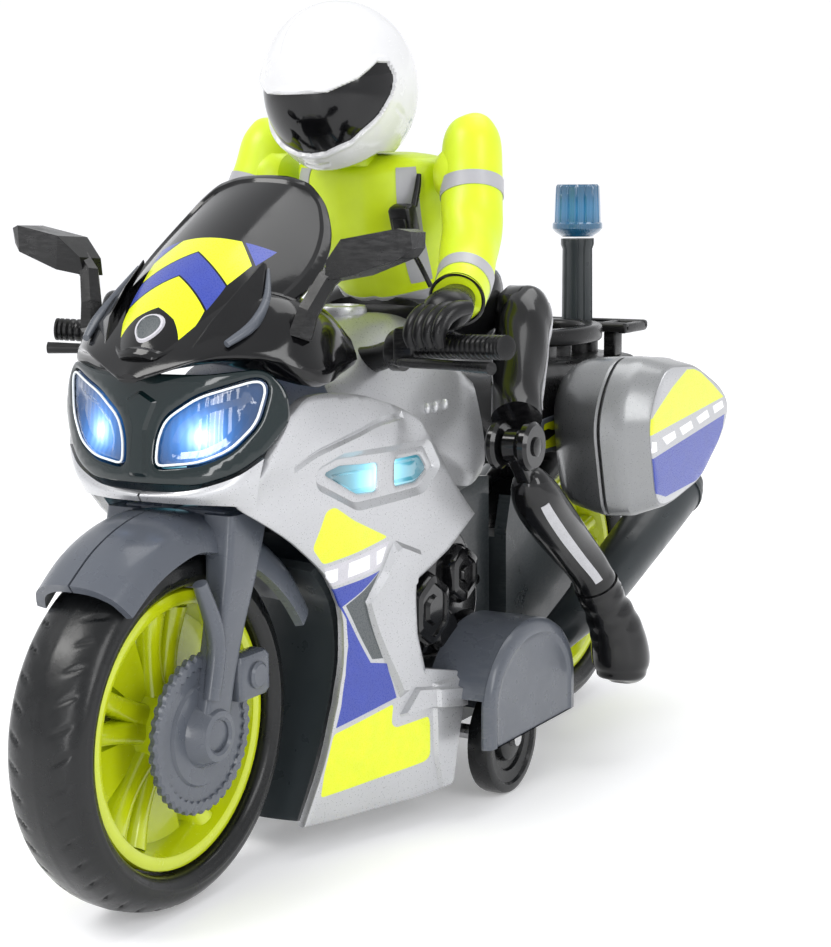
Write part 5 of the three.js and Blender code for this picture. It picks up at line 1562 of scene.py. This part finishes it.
middle = ENGINE.mean(0)
engine_rings = [
    [[x, *(middle + (np.array(p) - middle) * share)] for p in ENGINE]
    for share, x in ((1, 7.9), (1, 11.2), (0.96, 12.0), (0.9, 12.3))
]
engine = [tube(engine_rings)]
engine.append(boss(51.5, 32.5, [(6.2, 11), (6.2, 13.6), (5.5, 14.8), (4.4, 15), (4.2, 14.6), (2.6, 14.6),
    (2.2, 15.2)]))
engine.append(boss(63, 36, [(5, 11), (5, 13.2), (4.4, 14.2), (3.2, 14.4), (3, 14.0), (1.6, 14.0),
    (1.4, 14.5)]))
engine.append(boss(58.4, 27.6, [(3.4, 11), (3.4, 12.9), (2.8, 13.6), (1.6, 13.7)], 24, 0))
for y, z in ((46.4, 38.4), (57.2, 43.6), (68.6, 34), (67, 25), (56.8, 34.6), (50.4, 26.6)):
    engine.append(boss(y, z, [(1.1, 12), (1.1, 13.0), (0.8, 13.3), (0.5, 13.3), (0.4, 13.0)]))
for k in range(5):
    engine.append(rounded_box(12, 13.2, 52.4 + k * 1.9, 53.2 + k * 1.9, 38.8 + k * 0.7, 43.4 + k * 0.6, 0.3))
engine.append(tube(limb([[12.6, 46, 41, 1.0], [13.2, 50, 44, 1.2], [12.8, 56, 47.6, 1.1],
    [11.6, 61, 49, 1.0]], 16, 6)))
engine_parts = merged(*engine)
both("engine_moulding", *engine_parts[:2], "motorcycle", GLOSS_BLACK, replaces=["engine_cover_{}"],
    slot="gloss_black",
     angle=32)

SHROUD = [
    [6.4, 25, 24.2, 5.2], [8.2, 27.4, 27, 14], [9.8, 28.8, 29, 23], [10.8, 29, 29.4, 31],
    [11.4, 26.4, 27.6, 38.4],
    [11.8, 21.6, 24, 43.5],
]
shroud_rows = [
    [[s * half, mid + (edge - mid) * s * s, z] for s in (-1, -0.5, 0, 0.5, 1)] for half, edge, mid,
    z in SHROUD
]
piece("shroud_moulding", *thick(dense(shroud_rows, 6, 6), 1.4, (0, 60, 25)), "motorcycle", DARK_GREY,
      replaces=["wheel_shroud"], slot="dark_grey_plastic")


def guard_outline(shrink, steps=40):
    points = [[51.7 + shrink, 11.2], [51.7 + shrink, 17]]
    for step in range(1, steps):
        t = math.pi * (1 - step / steps)
        points.append([67.1 + (15.4 - shrink) * math.cos(t), 17 + (11.8 - shrink) * math.sin(t)])
    points += [[82.5 - shrink, 17], [82.5 - shrink, 11.2]]
    return points


guard_plate = tube([[[x, y, z] for y, z in guard_outline(s)] for s, x in (
    (1.5, 22.7), (0.1, 22.8), (0, 23.2), (0.35, 23.9), (1.1, 24.4), (2.2, 24.45), (2.5, 24.25), (3.4, 24.2),
)])
wall_front = np.array([[[x, y, z] for y, z in guard_outline(0)] for x in (23.0, 18.6, 13.2)])
wall_back = np.array([[[x, y, z] for y, z in guard_outline(1.4)] for x in (23.0, 18.6, 13.2)])
guard_wall = shell(wall_front[:, 3:], wall_back[:, 3:])
web = slab([[72.4, 11.4], [72.4, 27], [76, 24.6], [79.6, 20.8], [81.2, 16.6], [81.2, 11.4]], 7.9, 13.6)
guard_parts = merged(guard_plate, guard_wall, web)
both("guard_moulding", *guard_parts[:2], "motorcycle", GREY, replaces=["wheel_guard_{}"],
    slot="grey_plastic", angle=32)

silencer = limb([
    [15, 84, 17, 2.6], [16.4, 92, 20.5, 3.4], [17.6, 104, 25, 4.5], [17.9, 121, 31.6, 5.0],
    [18, 138, 38, 5.2],
    [18, 141.6, 39.4, 4.9],
], 48, 8, 0.9)
tip = limb([[18, 140.6, 39, 4.2], [18, 142, 39.6, 4.5], [18, 143.2, 40.1, 4.3]], 48, 4, 0.9)
silencer_parts = merged(tube(silencer), tube(tip), cuff(silencer, 16, 18, 0.25), cuff(silencer, 33, 35, 0.25))
both("silencer_moulding", *silencer_parts[:2], "motorcycle", DARK_GREY, replaces=["silencer_{}"],
     slot="dark_grey_plastic", angle=36)


# ---------------------------------------------------------------- CAD nodes that keep their shape

KEPT = {
    SILVER: ["fairing_left", "fairing_right", "tank_cover", "pannier_lid_left", "pannier_lid_right",
             "pannier_body_left", "pannier_body_right"],
    GLOSS_BLACK: ["cowl", "windscreen", "engine_cover_left", "engine_cover_right", "visor", "push_button"],
    SATIN_BLACK: ["handlebar", "mirror_left", "mirror_right", "rider_belt", "speaker", "seat", "carrier"],
    SMOKE: ["nose_mask"],
    GREY: ["fork_left", "fork_right", "wheel_guard_left", "wheel_guard_right"],
    DARK_GREY: ["chassis", "battery_cover", "wheel_shroud", "silencer_left", "silencer_right", "swing_arm",
                "beacon_pole"],
    LIME: ["front_rim", "rear_rim"],
    TYRE: ["front_tyre", "rear_tyre", "stabiliser_wheel_left", "stabiliser_wheel_right"],
    STEEL: ["front_axle", "rear_axle", "stabiliser_axle", "battery_cell_1", "battery_cell_2",
    "battery_screw"],
    WHITE: ["helmet"],
    HI_VIS: ["rider_torso", "arm_left", "arm_right"],
    LEG_BLACK: ["thigh_left", "thigh_right", "shin_left", "shin_right"],
    BOARD: ["circuit_board"],
    HEADLIGHT: ["headlight_left", "headlight_right", "headlight_lamp"],
    SIDE_LENS: ["side_light_left", "side_light_right"],
    BEACON: ["beacon_lens", "beacon_lamp"],
}
for material, names in KEPT.items():
    for name in names:
        node = NODES[name]
        node.data.materials.clear()
        node.data.materials.append(material)
        if not node.hide_render:
            soften(node, 0.35, 2)

# ---------------------------------------------------------------- floor, light and camera


def floor():
    """A pale floor that sweeps up far behind the toy."""
    material = bpy.data.materials.new("studio_floor")
    material.use_nodes = True
    bsdf = material.node_tree.nodes["Principled BSDF"]
    bsdf.inputs["Base Color"].default_value = (0.86, 0.86, 0.87, 1)
    bsdf.inputs["Roughness"].default_value = 0.55
    bsdf.inputs["Specular IOR Level"].default_value = 0.25
    bsdf.inputs["Emission Color"].default_value = (1, 1, 1, 1)
    bsdf.inputs["Emission Strength"].default_value = 0.22
    mesh = bpy.data.meshes.new("floor")
    sides = 96
    rings = [(0.4, 0), (1.2, 0), (1.45, 0.012), (1.7, 0.06), (1.95, 0.18), (2.1, 0.34), (2.2, 0.6)]
    points = [(0, 0, 0)]
    for radius, z in rings:
        for k in range(sides):
            turn = 2 * math.pi * k / sides
            points.append((radius * math.cos(turn), radius * math.sin(turn), z))
    faces = [(0, 1 + k, 1 + (k + 1) % sides) for k in range(sides)]
    faces += [tuple(1 + i for i in face[::-1]) for face in grid_faces(len(rings), sides, True)]
    mesh.from_pydata(points, [], faces)
    mesh.shade_smooth()
    mesh.materials.append(material)
    obj = bpy.data.objects.new("floor", mesh)
    bpy.context.scene.collection.objects.link(obj)


def area_light(name, at, target, size, power, colour=(1, 1, 1)):
    light = bpy.data.lights.new(name, "AREA")
    light.shape = "RECTANGLE"
    light.size, light.size_y = size
    light.energy = power
    light.color = colour
    obj = bpy.data.objects.new(name, light)
    obj.location = at
    obj.rotation_euler = (Vector(target) - Vector(at)).to_track_quat("-Z", "Y").to_euler()
    bpy.context.scene.collection.objects.link(obj)


def studio():
    world = bpy.data.worlds.new("studio")
    world.use_nodes = True
    bpy.context.scene.world = world
    background = world.node_tree.nodes["Background"]
    background.inputs["Color"].default_value = (0.97, 0.98, 1.0, 1)
    background.inputs["Strength"].default_value = 0.85
    area_light("key", (-0.35, -0.55, 0.75), (0, 0, 0.05), (0.45, 0.35), 4.0, (1, 0.99, 0.97))
    area_light("fill", (0.75, -0.25, 0.45), (0, 0, 0.05), (0.25, 0.5), 2.2)
    area_light("strip", (0.15, -0.7, 0.22), (0, -0.03, 0.06), (0.08, 0.4), 0.8)
    area_light("top", (0.1, 0.25, 0.8), (0, 0, 0.05), (0.5, 0.5), 2.0)


CAMERA = {"at": (0.1629, -0.27245, 0.09975), "azimuth": 29.82, "elevation": 8.65, "roll": -0.47,
    "lens": 76.45}


def camera():
    data = bpy.data.cameras.new("camera")
    data.sensor_width = 36
    data.sensor_fit = "AUTO"
    data.lens = CAMERA["lens"]
    data.clip_start, data.clip_end = 0.01, 50
    obj = bpy.data.objects.new("camera", data)
    a, e, roll = (math.radians(CAMERA[k]) for k in ("azimuth", "elevation", "roll"))
    forward = Vector((-math.sin(a) * math.cos(e), math.cos(a) * math.cos(e), -math.sin(e)))
    right = Vector((math.cos(a), math.sin(a), 0))
    up = right.cross(forward)
    x = right * math.cos(roll) + up * math.sin(roll)
    y = up * math.cos(roll) - right * math.sin(roll)
    obj.matrix_world = Matrix((x, y, -forward)).transposed().to_4x4()
    obj.location = CAMERA["at"]
    bpy.context.scene.collection.objects.link(obj)
    bpy.context.scene.camera = obj


floor()
studio()
camera()
bpy.context.scene.view_settings.view_transform = "Standard"
